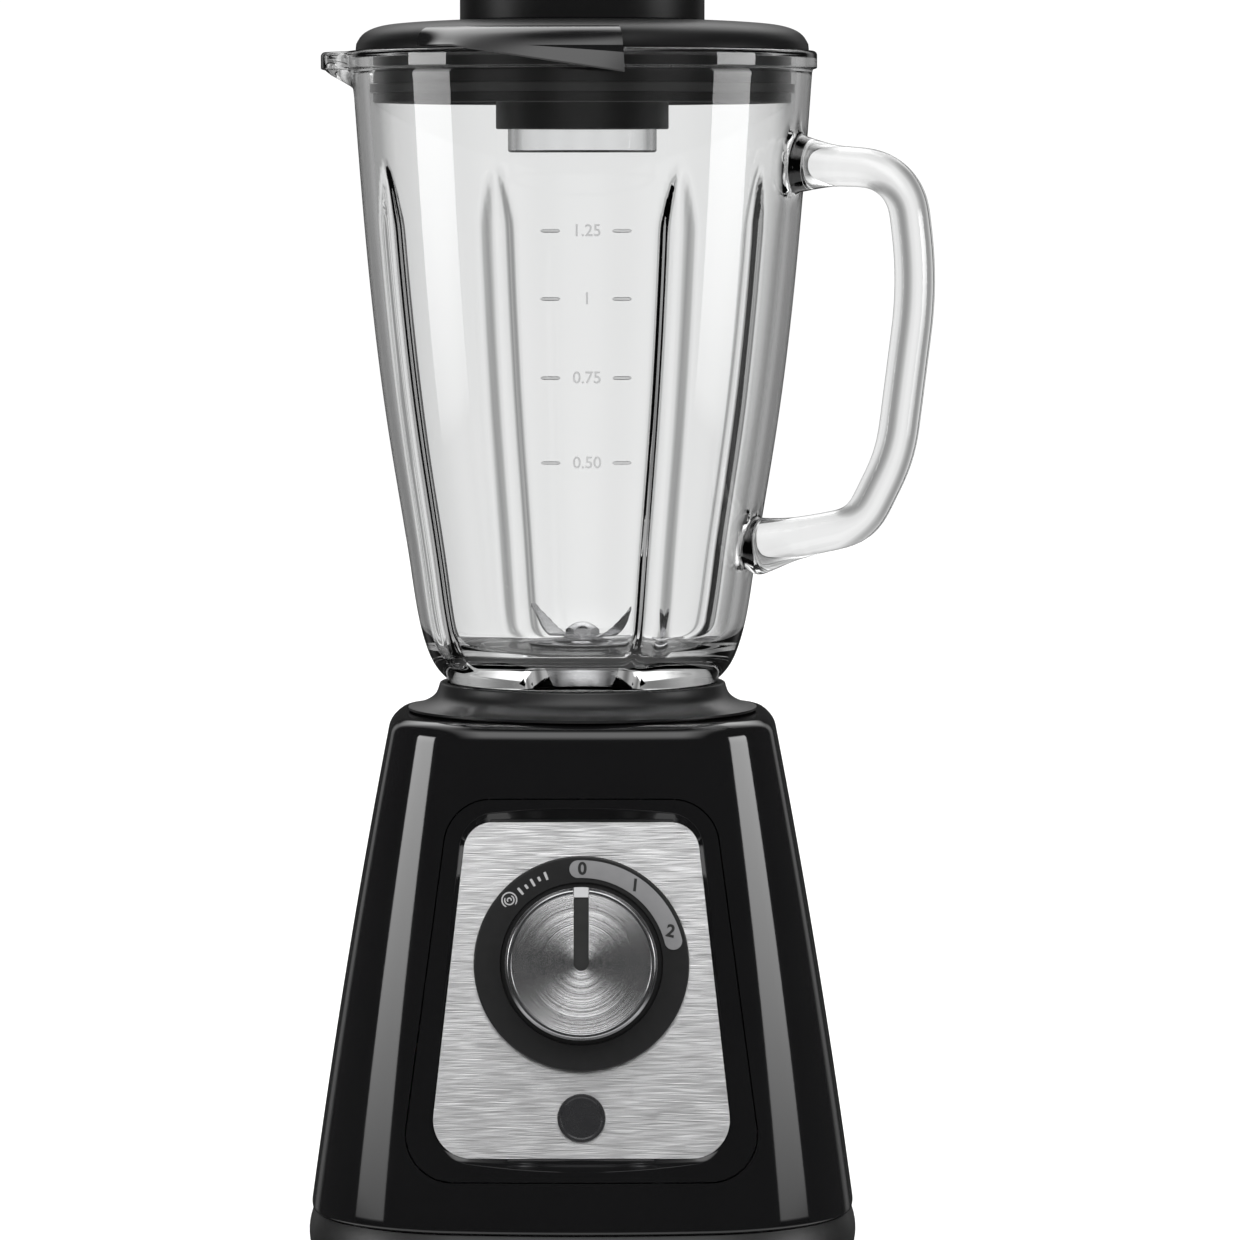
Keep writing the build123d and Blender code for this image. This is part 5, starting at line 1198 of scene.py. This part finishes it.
# ---------------------------------------------------------------- jug
@dataclass
class GlassJug:
    """The pressed glass jug, in millimetres: body, ribs, spout and handle in one skin."""

    turn: float = -18.0
    wall: float = 4.8
    foot_z: float = 181.0
    foot_radius: float = 42.5
    foot_inner: float = 34.0
    floor_z: float = 196.5
    floor_under: float = 190.0
    floor_flat: float = 33.0
    heel_z: float = 208.0
    hole: float = 12.7
    rim_radius: float = 74.7
    rim_z: float = 388.9
    rib_width: float = 9.6
    rib_depth: float = 3.1
    rib_top: float = 351.0
    spout_reach: float = 13.4
    spout_half: float = 15.0
    spout_low: float = 374.3
    segments: int = 288
    flank: list[tuple[float, float]] = field(default_factory=lambda: [
        (43.0, 188.5), (46.2, 191.8), (50.1, 199.7), (54.8, 223.4), (61.5, 265.0), (69.1, 329.6),
        (73.1, 381.4)])
    route: list[tuple[float, float, float]] = field(default_factory=lambda: [
        (69.0, 353.3, 0), (106.5, 351.2, 16), (110.8, 316.0, 120), (103.8, 262.0, 50), (92.5, 239.5, 14),
        (54.6, 231.3, 0)])
    grip_wide: float = 8.0
    grip_deep: float = 6.2
    root_reach: float = 16.0
    root_depth: float = 3.5
    mark_size: float = 5.2

    def profile(self) -> tuple[Array, Array]:
        """The closed section of the body and, for each point, whether it is on the inside.

        Returns:
            n x 2 points: up the outside, over the rim, down the inside, across the floor, and back
            under it round the foot ring; and a mask of the points that the ribs push inwards.
        """
        outside = smooth_curve(self.flank, 84)
        rim = rounded([(73.1, 381.8, 0), (73.4, 383.0, 0.4), (self.rim_radius, 383.4, 0.5),
                       (self.rim_radius, self.rim_z, 1.4), (69.4, self.rim_z, 1.2), (68.4, 386.6, 0.8),
                       (68.3, 381.8, 0)], 5, closed=False)
        inner = outside[outside[:, 1] > self.heel_z] - (self.wall, 0)
        bend = [(self.floor_flat, self.floor_z), (40.5, 197.6), (45.2, 201.8)]
        heel = smooth_curve([*bend, tuple(inner[0]), tuple(inner[3])], 30)
        heel = heel[heel[:, 1] < inner[0][1] - 0.2]
        middle = [(24.0, self.floor_z), (self.hole + 0.4, self.floor_z), (self.hole, 196.0),
                  (self.hole, self.floor_under)]
        under = rounded([(self.hole, self.floor_under, 0), (self.foot_inner, self.floor_under, 2.0),
                         (self.foot_inner, self.foot_z, 1.5), (self.foot_radius, self.foot_z, 1.5),
                         (self.foot_radius, 188.0, 0.3), (43.0, 188.5, 0)], 5, closed=False)
        parts = [outside, rim, inner[::-1], heel[::-1], np.array(middle), under[1:-1]]
        ribbed = [np.full(len(p), k in (2, 3)) for k, p in enumerate(parts)]
        return np.concatenate(parts), np.concatenate(ribbed)

    def body(self) -> Array:
        """The turned body with its ribs and spout.

        A rib moves the inside inwards by its depth times a flat-topped bump exp(-(d / half)^4) of the
        distance d along the wall; depth and half width shrink as square roots towards its rounded top.
        The spout moves both skins outwards by its reach times a bell of the bearing times a smooth
        step of the height above its root.
        """
        profile, ribbed = self.profile()
        angle = np.linspace(0, 2 * np.pi, self.segments, endpoint=False)[None, :]
        radius = np.repeat(profile[:, :1], self.segments, axis=1)
        height = np.repeat(profile[:, 1:], self.segments, axis=1)
        rib_bearing = np.radians(45.0)
        off_rib = (angle - rib_bearing) % (np.pi / 2)
        off_rib = np.minimum(off_rib, np.pi / 2 - off_rib) * np.maximum(radius, 30.0)
        fade = np.clip((self.rib_top - height) / (self.rib_top - self.floor_z), 0, 1)
        narrow = self.rib_width / 2 * np.sqrt(np.clip(fade * 9, 0.03, 1))
        bump = np.exp(-((off_rib / narrow) ** 4)) * self.rib_depth * np.clip(fade * 9, 0, 1) ** 0.5
        at_wall = np.clip((radius - 33.5) / 6.0, 0, 1)
        radius = radius - bump * ribbed[:, None] * at_wall
        off_spout = np.abs(angle - np.pi) * self.rim_radius
        climb = np.clip((height - self.spout_low) / 9.5, 0, 1)
        rise = climb**2 * (3 - 2 * climb)
        radius = radius + self.spout_reach * np.exp(-((off_spout / self.spout_half) ** 2)) * rise
        x, y = radius * np.cos(angle), radius * np.sin(angle)
        return np.stack([x, y, height], axis=-1)

    def handle(self) -> Array:
        """An ellipse carried along the handle's line of straight runs and arcs, swelling at both roots."""
        line = rounded(self.route, 14, closed=False)
        length = np.concatenate([[0], np.cumsum(np.linalg.norm(np.diff(line, axis=0), axis=1))])
        at = np.linspace(0, length[-1], 170)
        line = np.stack([np.interp(at, length, line[:, k]) for k in range(2)], axis=1)
        for _ in range(6):
            line[1:-1] = (line[:-2] + 2 * line[1:-1] + line[2:]) / 4
        along = np.gradient(line, axis=0)
        along /= np.linalg.norm(along, axis=1, keepdims=True)
        side = np.stack([-along[:, 1], along[:, 0]], axis=1)
        from_end = np.minimum(at, (length[-1] - at) * 0.8)
        swell = 1 + 0.55 * np.exp(-((from_end / 10.5) ** 2))
        around = np.linspace(0, 2 * np.pi, 56, endpoint=False)[None, :]
        lift = (self.grip_deep * swell)[:, None] * np.cos(around)
        wide = (self.grip_wide * (1 + 0.3 * (swell - 1)))[:, None] * np.sin(around)
        x = line[:, :1] + side[:, :1] * lift
        z = line[:, 1:] + side[:, 1:] * lift
        grip = np.stack([x, wide, z], axis=-1)
        caps = [np.broadcast_to(grip[k].mean(axis=0), grip[k].shape)[None] for k in (0, -1)]
        return np.concatenate([caps[0], grip, caps[1]])

    def turned_points(self, points: Array) -> Array:
        """Points turned about Z to the jug's own bearing, in metres."""
        c, s = math.cos(math.radians(self.turn)), math.sin(math.radians(self.turn))
        x, y = points[..., 0], points[..., 1]
        return np.stack([x * c - y * s, x * s + y * c, points[..., 2]], axis=-1) * MM

    def soften(self, piece: bpy.types.Object) -> None:
        """Smooth the skin where the handle leaves the wall, so that the join reads as one pour of glass."""
        work = bmesh.new()
        work.from_mesh(piece.data)
        bmesh.ops.remove_doubles(work, verts=work.verts, dist=2e-5)
        work.to_mesh(piece.data)
        points = mesh_points(piece.data)
        roots = self.turned_points(np.array([[72.5, 0.0, 353.2], [58.5, 0.0, 232.4]]))
        radii = np.linalg.norm(roots[:, :2], axis=1)
        close = np.linalg.norm(points[:, None] - roots, axis=2) < self.root_reach * MM
        outside = points[:, :2] @ (roots[:, :2] / radii[:, None]).T > radii - self.root_depth * MM
        work.verts.ensure_lookup_table()
        near = [work.verts[k] for k in np.flatnonzero((close & outside).any(axis=1))]
        for _ in range(14):
            bmesh.ops.smooth_vert(work, verts=near, factor=0.5, use_axis_x=True, use_axis_y=True,
                                  use_axis_z=True)
        bmesh.ops.recalc_face_normals(work, faces=work.faces)
        work.to_mesh(piece.data)
        work.free()
        piece.data.shade_smooth()
        piece.data.set_sharp_from_angle(angle=math.radians(50))

    def flank_radius(self, z: Array | float) -> Array:
        """The wall's outside radius at a height, along straight lines between the flank's points."""
        return np.interp(z, [p[1] for p in self.flank], [p[0] for p in self.flank])

    def graduation(self, name: str, x0: float, x1: float, z: float) -> bpy.types.Object:
        """A moulded dash on the outside of the glass, as a slim bar that follows the wall.

        Args:
            name: the object's name.
            x0: its left end, across the jug.
            x1: its right end.
            z: its height.

        Returns:
            The closed mesh.
        """
        x = np.linspace(x0, x1, 12)
        pinch = 0.55 * np.sqrt(np.clip(1 - np.linspace(-1, 1, 12) ** 6, 0.02, 1))
        wall = self.flank_radius(z)
        rows = []
        for lift, side in ((-0.1, -1), (0.28, -0.6), (0.28, 0.6), (-0.1, 1)):
            y = -np.sqrt((wall + lift) ** 2 - x**2)
            rows.append(np.stack([x, y, z + side * pinch], axis=-1))
        return grid_object(name, np.stack(rows) * MM, wrap_rows=True)

    def number(self, text: str, x: float, z: float) -> bpy.types.Object:
        """A moulded number wrapped on the glass.

        Args:
            text: the number.
            x: its middle, across the jug.
            z: its middle height.

        Returns:
            The mesh object.
        """
        def place(flat: Array) -> Array:
            """Stand the flat number up and wrap it: its depth adds to the wall's radius."""
            across, height = x + flat[:, 0], z + flat[:, 1]
            wall = self.flank_radius(height) + flat[:, 2]
            return np.stack([across, -np.sqrt(wall**2 - across**2), height], axis=-1) * MM

        return lettering("litre_" + text.replace(".", "_"), text, self.mark_size, 0.2, 0.06, 5, place)

    def build(self, palette: Palette) -> None:
        """Make the jug, join its handle, and add the moulded scale."""
        piece = grid_object("glass_body", self.turned_points(self.body()), wrap_rows=True, wrap_columns=True)
        grip = grid_object("grip", self.turned_points(self.handle()), wrap_columns=True)
        boolean(piece, grip, Joining.ADD)
        self.soften(piece)
        dress(piece, palette["jug_glass"])
        ride(piece, Body.JUG, "jug_glass", "glass_jug")
        for text, z in (("0.50", 260.5), ("0.75", 287.0), ("1", 311.5), ("1.25", 332.5)):
            plain = text.replace(".", "_")
            marks = [self.graduation("dash_left_" + plain, -12.6, -6.4, z),
                     self.graduation("dash_right_" + plain, 9.6, 15.6, z), self.number(text, 1.8, z)]
            for mark in marks:
                dress(mark, palette["moulded_glass"])
                ride(mark, Body.JUG, "jug_glass")


@dataclass
class JugCollar:
    """The flared collar under the glass, in millimetres."""

    foot: float = 55.8
    foot_z: float = 178.95
    lip_z: float = 187.8
    bore: float = 43.2
    flange: float = 36.0

    def build(self, palette: Palette) -> None:
        """The collar: a concave flare from the foot up to a rounded lip, turned about Z."""
        z = self.foot_z
        flare = smooth_curve([(self.foot, z + 0.9), (52.6, z + 1.7), (49.0, z + 3.3), (46.9, z + 5.2),
                              (46.0, z + 7.4)], 18)
        head = rounded([(46.0, z + 7.4, 0), (45.6, self.lip_z, 0.8), (self.bore, self.lip_z, 0.3),
                        (self.bore, z + 2.1, 0), (self.flange, z + 2.1, 0.3), (self.flange, z, 0.2),
                        (self.foot - 0.1, z, 0.3), (self.foot, z + 0.9, 0)], 5, closed=False)
        section = np.concatenate([flare[:-1], head[:-1]])
        piece = grid_object("flared_collar", turned(section, 200), wrap_rows=True, wrap_columns=True)
        dress(piece, palette["matt_black"])
        ride(piece, Body.JUG, "collar_black", "jug_collar")


@dataclass
class BladeSet:
    """Two bent, sharpened blades on the blade shaft, in millimetres."""

    hub: float = 6.5
    hole: float = 3.1
    thickness: float = 1.2
    shift: float = 4.2
    count: int = 44

    def arm(self, z: float, reach: float, bend_at: float, rise: float, bearing: float, teeth: float) -> Array:
        """One arm as an open loft: a plan that narrows to a point, bent upwards past bend_at.

        Args:
            z: height of its underside at the hub.
            reach: how far it spreads.
            bend_at: where the bend starts.
            rise: height of its tip over the hub.
            bearing: its direction, degrees from +X.
            teeth: depth of the serration on its cutting edge.

        Returns:
            rows x columns x 3 points: the section is thick at its back and thin at its edge.
        """
        s = np.linspace(0, 1, self.count)
        out = s * reach
        share = np.clip((out - bend_at) / (reach - bend_at), 0, 1)
        lift = rise * (share**1.15)
        blend = 3 * share**2 - 2 * share**3
        back = 5.0 * (1 - 0.55 * blend)
        serration = teeth * (np.abs(np.sin(s * np.pi * 9)) - 0.5) * (share > 0.05)
        edge = 5.0 * (1 - 0.95 * share**1.6) + serration
        top = self.thickness
        rows = [(-edge, top * 0.42), (-edge * 0.45, top), (back, top), (back, 0 * s), (-edge * 0.45, 0 * s),
                (-edge, top * 0.36)]
        c, d = math.cos(math.radians(bearing)), math.sin(math.radians(bearing))
        return np.stack([np.stack([out * c - side * d, out * d + side * c, z + lift + (h + 0 * s)], axis=-1)
                         for side, h in rows])

    def blade(self, name: str, z: float, reach: float, bend_at: float, rise: float, bearing: float,
              teeth: float) -> bpy.types.Object:
        """A blade: two arms and a hub joined, with a hole for the stud. The arms start clear of the hole."""
        top = z + self.thickness
        ring = [(self.hole, z, 0), (self.hub, z, 0.2), (self.hub, top, 0.2), (self.hole, top, 0)]
        hub = lathe(name, ring, 72)
        for turn in (0.0, 180.0):
            aim = math.radians(bearing + turn)
            points = self.arm(z + 0.001, reach, bend_at, rise, bearing + turn, teeth)
            root, tip = (np.broadcast_to(points[:, [k]].mean(axis=0), points[:, [k]].shape) for k in (0, -1))
            closed = np.concatenate([root, points, tip], axis=1)
            closed = closed + (self.shift * math.cos(aim), self.shift * math.sin(aim), 0)
            boolean(hub, grid_object("arm", closed * MM, wrap_rows=True), Joining.ADD)
        hub.data.shade_smooth()
        hub.data.set_sharp_from_angle(angle=math.radians(28))
        return hub

    def build(self, palette: Palette) -> None:
        """Make both blades where the CAD blades are."""
        low_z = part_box("blade_spacer")[0].z / MM - self.thickness
        high_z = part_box("blade_spacer")[1].z / MM
        upper = self.blade("upper_knife", high_z, 14.2, 5.0, 9.6, -33.0, 0.8)
        lower = self.blade("lower_knife", low_z, 20.8, 9.0, -1.0, 35.0, 0.9)
        for piece, node in ((upper, "upper_blade"), (lower, "lower_blade")):
            dress(piece, palette["blade_steel"])
            ride(piece, Body.BLADES, "blade_steel", node)


# ---------------------------------------------------------------- lid and cap
@dataclass
class Lid:
    """The lid with its plug, neck and thumb tab, in millimetres."""

    radius: float = 72.1
    seat_z: float = 389.0
    top_z: float = 398.5
    plug: float = 66.5
    plug_foot: float = 372.3
    neck: float = 27.5
    neck_bore: float = 25.0
    neck_foot: float = 364.2
    tab_outer: float = 77.4
    tab_start: float = -45.0
    tab_end: float = 10.0

    def shell(self) -> Array:
        """The lid's closed section: crown, plug wall with its seal groove, and neck."""
        crown = smooth_curve([(41.0, self.top_z), (58.4, 397.5), (66.4, 396.0), (70.3, 393.6),
                              (71.9, 391.0)], 30)
        skirt = rounded([(71.9, 391.0, 0), (self.radius, self.seat_z, 0.3), (self.plug, self.seat_z, 0.2),
                         (self.plug, 378.5, 0.1), (65.1, 378.5, 0), (65.1, 375.5, 0), (self.plug, 375.5, 0.1),
                         (self.plug, self.plug_foot, 0.8), (63.5, self.plug_foot, 0.6), (63.5, 391.5, 2.0),
                         (58.4, 394.2, 2.0), (40.0, 395.5, 1.0), (self.neck, 395.5, 1.0),
                         (self.neck, self.neck_foot, 0.5), (self.neck_bore, self.neck_foot, 0.3),
                         (self.neck_bore, self.top_z, 0.5), (41.0, self.top_z, 0)], 5, closed=False)
        return np.concatenate([crown[:-1], skirt[:-1]])

    def tab(self) -> Array:
        """The thumb tab: a flange that grows out of the crown and hangs outside the jug's rim.

        For each bearing its outside is a cubic Bezier curve from the crown to its lower edge. The
        flare is a smooth step of the bearing; the lower edge is level at first, then falls evenly.

        Returns:
            section x bearing x 3 points, closed at both ends.
        """
        share = np.linspace(0, 1, 72)[None, :]
        bearing = np.radians(self.tab_start + (self.tab_end - self.tab_start) * share)
        grow = np.clip(share / 0.22, 0, 1)
        flare = grow**2 * (3 - 2 * grow)
        foot = 389.4 - 8.2 * np.clip((share - 0.25) / 0.75, 0, 1)
        edge = self.tab_outer - 5.1 * (1 - flare)
        controls = [(66.9, 395.7), (71.6, 394.9), (71.9 + 2.6 * flare, 391.8), (edge, foot + 0.5)]
        t = np.linspace(0, 1, 22)[:, None]
        weights = [(1 - t) ** 3, 3 * t * (1 - t) ** 2, 3 * t**2 * (1 - t), t**3]
        outside_r, outside_z = (sum(w * (c[k] + 0 * share) for w, c in zip(weights, controls))
                                for k in (0, 1))
        inner = edge - 1.9
        back = [(edge - 0.35, foot), (inner + 0.3, foot), (inner, foot + 0.3),
                (inner, np.maximum(foot + 0.5, 389.5)), (66.5, 390.0)]
        radius = np.concatenate([outside_r, *[r + 0 * share for r, _ in back]])
        height = np.concatenate([outside_z, *[z + 0 * share for _, z in back]])
        strip = np.stack([radius * np.sin(bearing), -radius * np.cos(bearing), height], axis=-1)
        caps = [np.broadcast_to(strip[:, [k]].mean(axis=0), (len(strip), 1, 3)) for k in (0, -1)]
        return np.concatenate([caps[0], strip, caps[1]], axis=1)

    def build(self, palette: Palette) -> None:
        """Make the lid and its tab."""
        cover = grid_object("lid_cover", turned(self.shell(), 220), wrap_rows=True, wrap_columns=True)
        tab = grid_object("lid_thumb_tab", self.tab() * MM, wrap_rows=True)
        for piece, finish in ((cover, "lid_satin"), (tab, "tab_satin")):
            dress(piece, palette[finish])
            ride(piece, Body.LID, "lid_black", "lid")


@dataclass
class FillerCap:
    """The black cap and the clear cup under it, in millimetres."""

    radius: float = 38.9
    foot_z: float = 398.55
    top_z: float = 424.0
    cup_radius: float = 23.7
    cup_wall: float = 2.0
    cup_foot: float = 356.8
    cup_top: float = 404.0

    def build(self, palette: Palette) -> None:
        """The cap is a hollow turned shell; the cup is a turned wall with a closed top and a lip."""
        r, foot, top, ring_foot = self.radius, self.foot_z, self.top_z, self.cup_top + 0.1
        shell = [(0, top, 0), (r - 4, top, 3.0), (r, top - 4.5, 2.5), (r, foot, 0.3), (r - 2.5, foot, 0.3),
                 (r - 2.5, top - 4.5, 1.5), (18.0, top - 4.5, 0.5), (18.0, ring_foot, 0.3),
                 (15.5, ring_foot, 0.3), (15.5, top - 4.0, 0.5), (0, top - 4.0, 0)]
        cover = grid_object("cap_shell", turned(rounded(shell, closed=False), 200), wrap_columns=True)
        a, b = self.cup_radius, self.cup_radius - self.cup_wall
        wall = [(0, self.cup_top, 0), (a, self.cup_top, 1.5), (a, self.cup_foot, 0.9),
                (b, self.cup_foot, 0.9), (b, self.cup_top - 2, 1.5), (0, self.cup_top - 2, 0)]
        cup = grid_object("clear_cup", turned(rounded(wall, closed=False), 160), wrap_columns=True)
        dress(cover, palette["lid_satin"])
        dress(cup, palette["cup_clear"])
        ride(cover, Body.CAP, "lid_black", "cap_cover")
        ride(cup, Body.CAP, "cup_clear", "measuring_cup")


# ---------------------------------------------------------------- carried-over nodes
class CarriedNodes:
    """The CAD nodes whose shapes stay, and the finish each one gets."""

    finishes: dict[str, tuple[str, ...]] = {
        "tray_black": ("base_tray", "fan_shroud", "jug_collar", "seat_plate"),
        "matt_black": ("lid", "cap_cover", "carrier_nut"),
        "casing_gloss": ("motor_housing",),
        "bezel_gloss": ("control_bezel",),
        "rubber": ("foot_ring", "motor_mounts", "cord_inlet", "blade_gasket", "shaft_seal", "lid_seal"),
        "zinc": ("base_screws", "frame_screws", "mount_screws", "brush_springs", "interlock_spring"),
        "plate_steel": ("control_plate",),
        "badge_black": ("badge",),
        "dial_black": ("dial_ring",),
        "scale_grey": ("speed_scale",),
        "spun_steel": ("knob_face",),
        "rim_steel": ("knob_body",),
        "knob_dark": ("knob_pointer",),
        "index_milky": ("knob_index",),
        "moulded_dark": ("speed_switch", "interlock_switch", "knob_spindle", "interlock_pin",
                         "motor_coupling", "jug_coupling"),
        "ground_steel": ("motor_shaft", "blade_shaft", "thrust_washer", "upper_bearing", "lower_bearing",
                         "blade_carrier"),
        "laminated_steel": ("stator_core", "armature_core"),
        "copper_wire": ("field_coils", "armature_windings"),
        "turned_copper": ("commutator",),
        "fan_nylon": ("cooling_fan",),
        "cast_alloy": ("upper_bracket", "lower_bracket"),
        "brass": ("brush_holders",),
        "carbon": ("carbon_brushes",),
        "board_green": ("circuit_board",),
        "capacitor_yellow": ("filter_capacitor",),
        "jug_glass": ("glass_jug",),
        "cup_clear": ("measuring_cup",),
        "bronze": ("blade_bush",),
        "blade_steel": ("lower_blade", "upper_blade", "blade_spacer", "blade_cap_nut"),
    }

    def dress(self, palette: Palette) -> None:
        """Give every CAD node its material."""
        for finish, nodes in self.finishes.items():
            for node in nodes:
                dress(frame["nodes"][node], palette[finish])


# ---------------------------------------------------------------- studio
@dataclass
class Studio:
    """Camera, floor and light."""

    distance: float = 2.05
    eye_z: float = 0.354
    aim_x: float = 0.012
    aim_z: float = 0.2074
    view_width: float = 0.397
    floor_size: float = 8.0
    panel_distance: float = 1.1
    panel_width: float = 0.46
    panel_height: float = 0.9
    panel_foot: float = -0.25
    panel_strength: float = 8.0
    lamp_size: tuple[float, float] = (1.0, 1.6)
    lamp_power: float = 26.0
    lamp_aim: float = 0.2

    def camera(self) -> None:
        """A long lens level with the upper part of the jug, tipped down to the middle of the object."""
        data = bpy.data.cameras.new("studio_camera")
        drop = self.eye_z - self.aim_z
        reach = math.hypot(self.distance, drop)
        data.lens = data.sensor_width / 2 / (self.view_width / 2 / reach)
        data.clip_end = 60.0
        camera = bpy.data.objects.new("studio_camera", data)
        camera.location = (self.aim_x, -self.distance, self.eye_z)
        camera.rotation_euler = (math.pi / 2 - math.atan2(drop, self.distance), 0.0, 0.0)
        bpy.context.scene.collection.objects.link(camera)
        bpy.context.scene.camera = camera

    def floor(self) -> None:
        """A wide pale floor just under the object, left out of reflections and out of what glass shows."""
        half = self.floor_size / 2
        s = np.linspace(-1, 1, 9)
        x, y = np.meshgrid(s * half, s * half, indexing="ij")
        points = np.stack([x, y, np.full_like(x, -0.0002)], axis=-1)
        piece = grid_object("studio_floor", points[:, ::-1])
        material, graph = blank_material("floor_pale")
        tone = graph.noise(graph.object_point(), 3.0)
        graph.surface({
            "Base Color": graph.blend(tone, grey(0.90), grey(0.93)),
            "Roughness": 0.6 + tone * 0.1,
            "Specular IOR Level": 0.1,
        })
        dress(piece, material)
        piece.visible_glossy = False
        piece.visible_transmission = False

    def world(self) -> None:
        """A white room: plain for the camera and for soft light, with dark bars for glass, and dark with
        a few lights for gloss. The light path tells which kind of ray asks."""
        world = bpy.data.worlds.new("white_room")
        bpy.context.scene.world = world
        world.use_nodes = True
        graph = Graph(world.node_tree)
        direction = Wire(graph, graph.node("ShaderNodeTexCoord", {}, {}).outputs["Generated"])
        x, y, z = graph.split(direction)
        level = graph.math("SQRT", x * x + y * y + 1e-6)
        side, front = graph.math("ABSOLUTE", x / level), y / level * -1.0
        glossy = self.gloss_room(front, graph.math("ABSOLUTE", x), z)
        clear = self.clear_room(graph, side, front, z)
        path = graph.node("ShaderNodeLightPath", {}, {}).outputs
        seen, through = Wire(graph, path["Is Camera Ray"]), Wire(graph, path["Is Transmission Ray"])
        gloss = Wire(graph, path["Glossy Depth"]).clipped(0.0, 1.0)
        plain = 1.25 + 0.35 * z.clipped(0.2, 1.0)
        mirrored = glossy + through * (clear - glossy) * 0.5
        lit = gloss * mirrored + (1 - gloss) * (through * clear + (1 - through) * plain)
        inputs = {"Color": (*grey(1.0), 1.0), "Strength": seen * 1.05 + (1 - seen) * lit}
        sky = graph.node("ShaderNodeBackground", {}, inputs)
        graph.node("ShaderNodeOutputWorld", {}, {"Surface": sky.outputs[0]})

    @staticmethod
    def gloss_room(front: Wire, across: Wire, z: Wire) -> Wire:
        """What shiny surfaces reflect: a dark room with a long light above the camera's axis, a pale
        table, and a dim narrow light at the back."""
        behind = front * -1.0
        rear = behind.clipped(0.80, 0.86) * (1 - behind.clipped(0.90, 0.95)) * z.clipped(-0.3, 0.2)
        above = z.clipped(0.28, 0.60) * (1 - z.clipped(0.88, 0.98)) * (1 - across.clipped(0.22, 0.60))
        table = (z * -1.0).clipped(0.45, 0.65)
        return 0.03 + rear * 0.5 + above * 3.0 + table * 1.1

    @staticmethod
    def clear_room(graph: Graph, side: Wire, front: Wire, z: Wire) -> Wire:
        """What glass shows of the room: white straight ahead from each of eight sides, with soft dark
        bars between them, where |sin 4a| of the bearing a is near 1."""
        double_sine = side * front * 2.0
        double_cosine = front * front - side * side
        swing = graph.math("ABSOLUTE", double_sine * double_cosine * 2.0)
        dark = swing.clipped(0.15, 0.70) * 0.13 + swing.clipped(0.65, 1.0) * 0.45
        return 0.89 - dark * (1 - z.clipped(0.55, 0.8))

    def panel(self, name: str, bearing: float) -> None:
        """A tall soft light that only shiny surfaces see: it fades in at the floor and brightens up to
        the top of the object, above which it ends.

        Args:
            name: the panel's name.
            bearing: where it stands, degrees from the front, positive to the right.
        """
        aim = math.radians(bearing)
        toward = np.array([math.sin(aim), -math.cos(aim), 0.0])
        along = np.array([math.cos(aim), math.sin(aim), 0.0])
        u, v = np.meshgrid(np.linspace(-0.5, 0.5, 5), np.linspace(0, 1, 9), indexing="ij")
        upward = np.array([0.0, 0.0, 1.0])
        points = toward * self.panel_distance + along * (u[..., None] * self.panel_width)
        points = points + upward * (v[..., None] * self.panel_height + self.panel_foot)
        piece = grid_object(name, points)
        material, graph = blank_material(name)
        _, _, z = graph.split(graph.object_point())
        glow = (0.20 + z.clipped(0.02, 0.42) * 0.80) * z.clipped(-0.02, 0.02) * (1 - z.clipped(0.48, 0.58))
        graph.surface({
            "Base Color": (*grey(0.0), 1.0),
            "Emission Color": graph.blend(glow, grey(0.0), grey(1.0)),
            "Emission Strength": self.panel_strength,
        })
        dress(piece, material)
        piece.visible_camera = False
        piece.visible_diffuse = False
        piece.visible_transmission = False
        piece.visible_shadow = False

    def lamp(self, name: str, place: tuple[float, float, float]) -> None:
        """A soft area light aimed at the object, left out of reflections.

        Args:
            name: the light's name.
            place: where it is.
        """
        data = bpy.data.lights.new(name, "AREA")
        data.shape = "RECTANGLE"
        data.size, data.size_y = self.lamp_size
        data.energy = self.lamp_power
        lamp = bpy.data.objects.new(name, data)
        lamp.location = place
        x, y, z = np.array((0.0, 0.0, self.lamp_aim)) - np.array(place)
        lamp.rotation_euler = (math.atan2(math.hypot(x, y), -z), 0.0, math.atan2(-x, y))
        lamp.visible_camera = False
        lamp.visible_glossy = False
        lamp.visible_transmission = False
        bpy.context.scene.collection.objects.link(lamp)

    def build(self) -> None:
        """Set up the room."""
        self.camera()
        self.floor()
        self.world()
        self.panel("left_panel", -79.0)
        self.panel("right_panel", 79.0)
        self.lamp("left_softbox", (-1.6, -1.2, 1.3))
        self.lamp("right_softbox", (1.6, -1.2, 1.3))
        bpy.context.scene.view_settings.view_transform = "Standard"


def main() -> None:
    """Build every class in order and report each piece."""
    logging.basicConfig(level=logging.INFO, format="%(message)s")
    palette = Palette()
    panel = ControlPanel()
    CarriedNodes().dress(palette)
    steps: list[tuple[str, Callable[[], None]]] = [
        ("studio", Studio().build),
        ("casing", lambda: Casing().build(palette, panel.bezel_outline(0.0))),
        ("control panel", lambda: panel.build(palette)),
        ("knob", lambda: Knob().build(panel, palette)),
        ("glass jug", lambda: GlassJug().build(palette)),
        ("collar", lambda: JugCollar().build(palette)),
        ("blades", lambda: BladeSet().build(palette)),
        ("lid", lambda: Lid().build(palette)),
        ("filler cap", lambda: FillerCap().build(palette)),
    ]
    for name, build in steps:
        build()
        log.info("built %s", name)


if __name__ == "__main__":
    main()
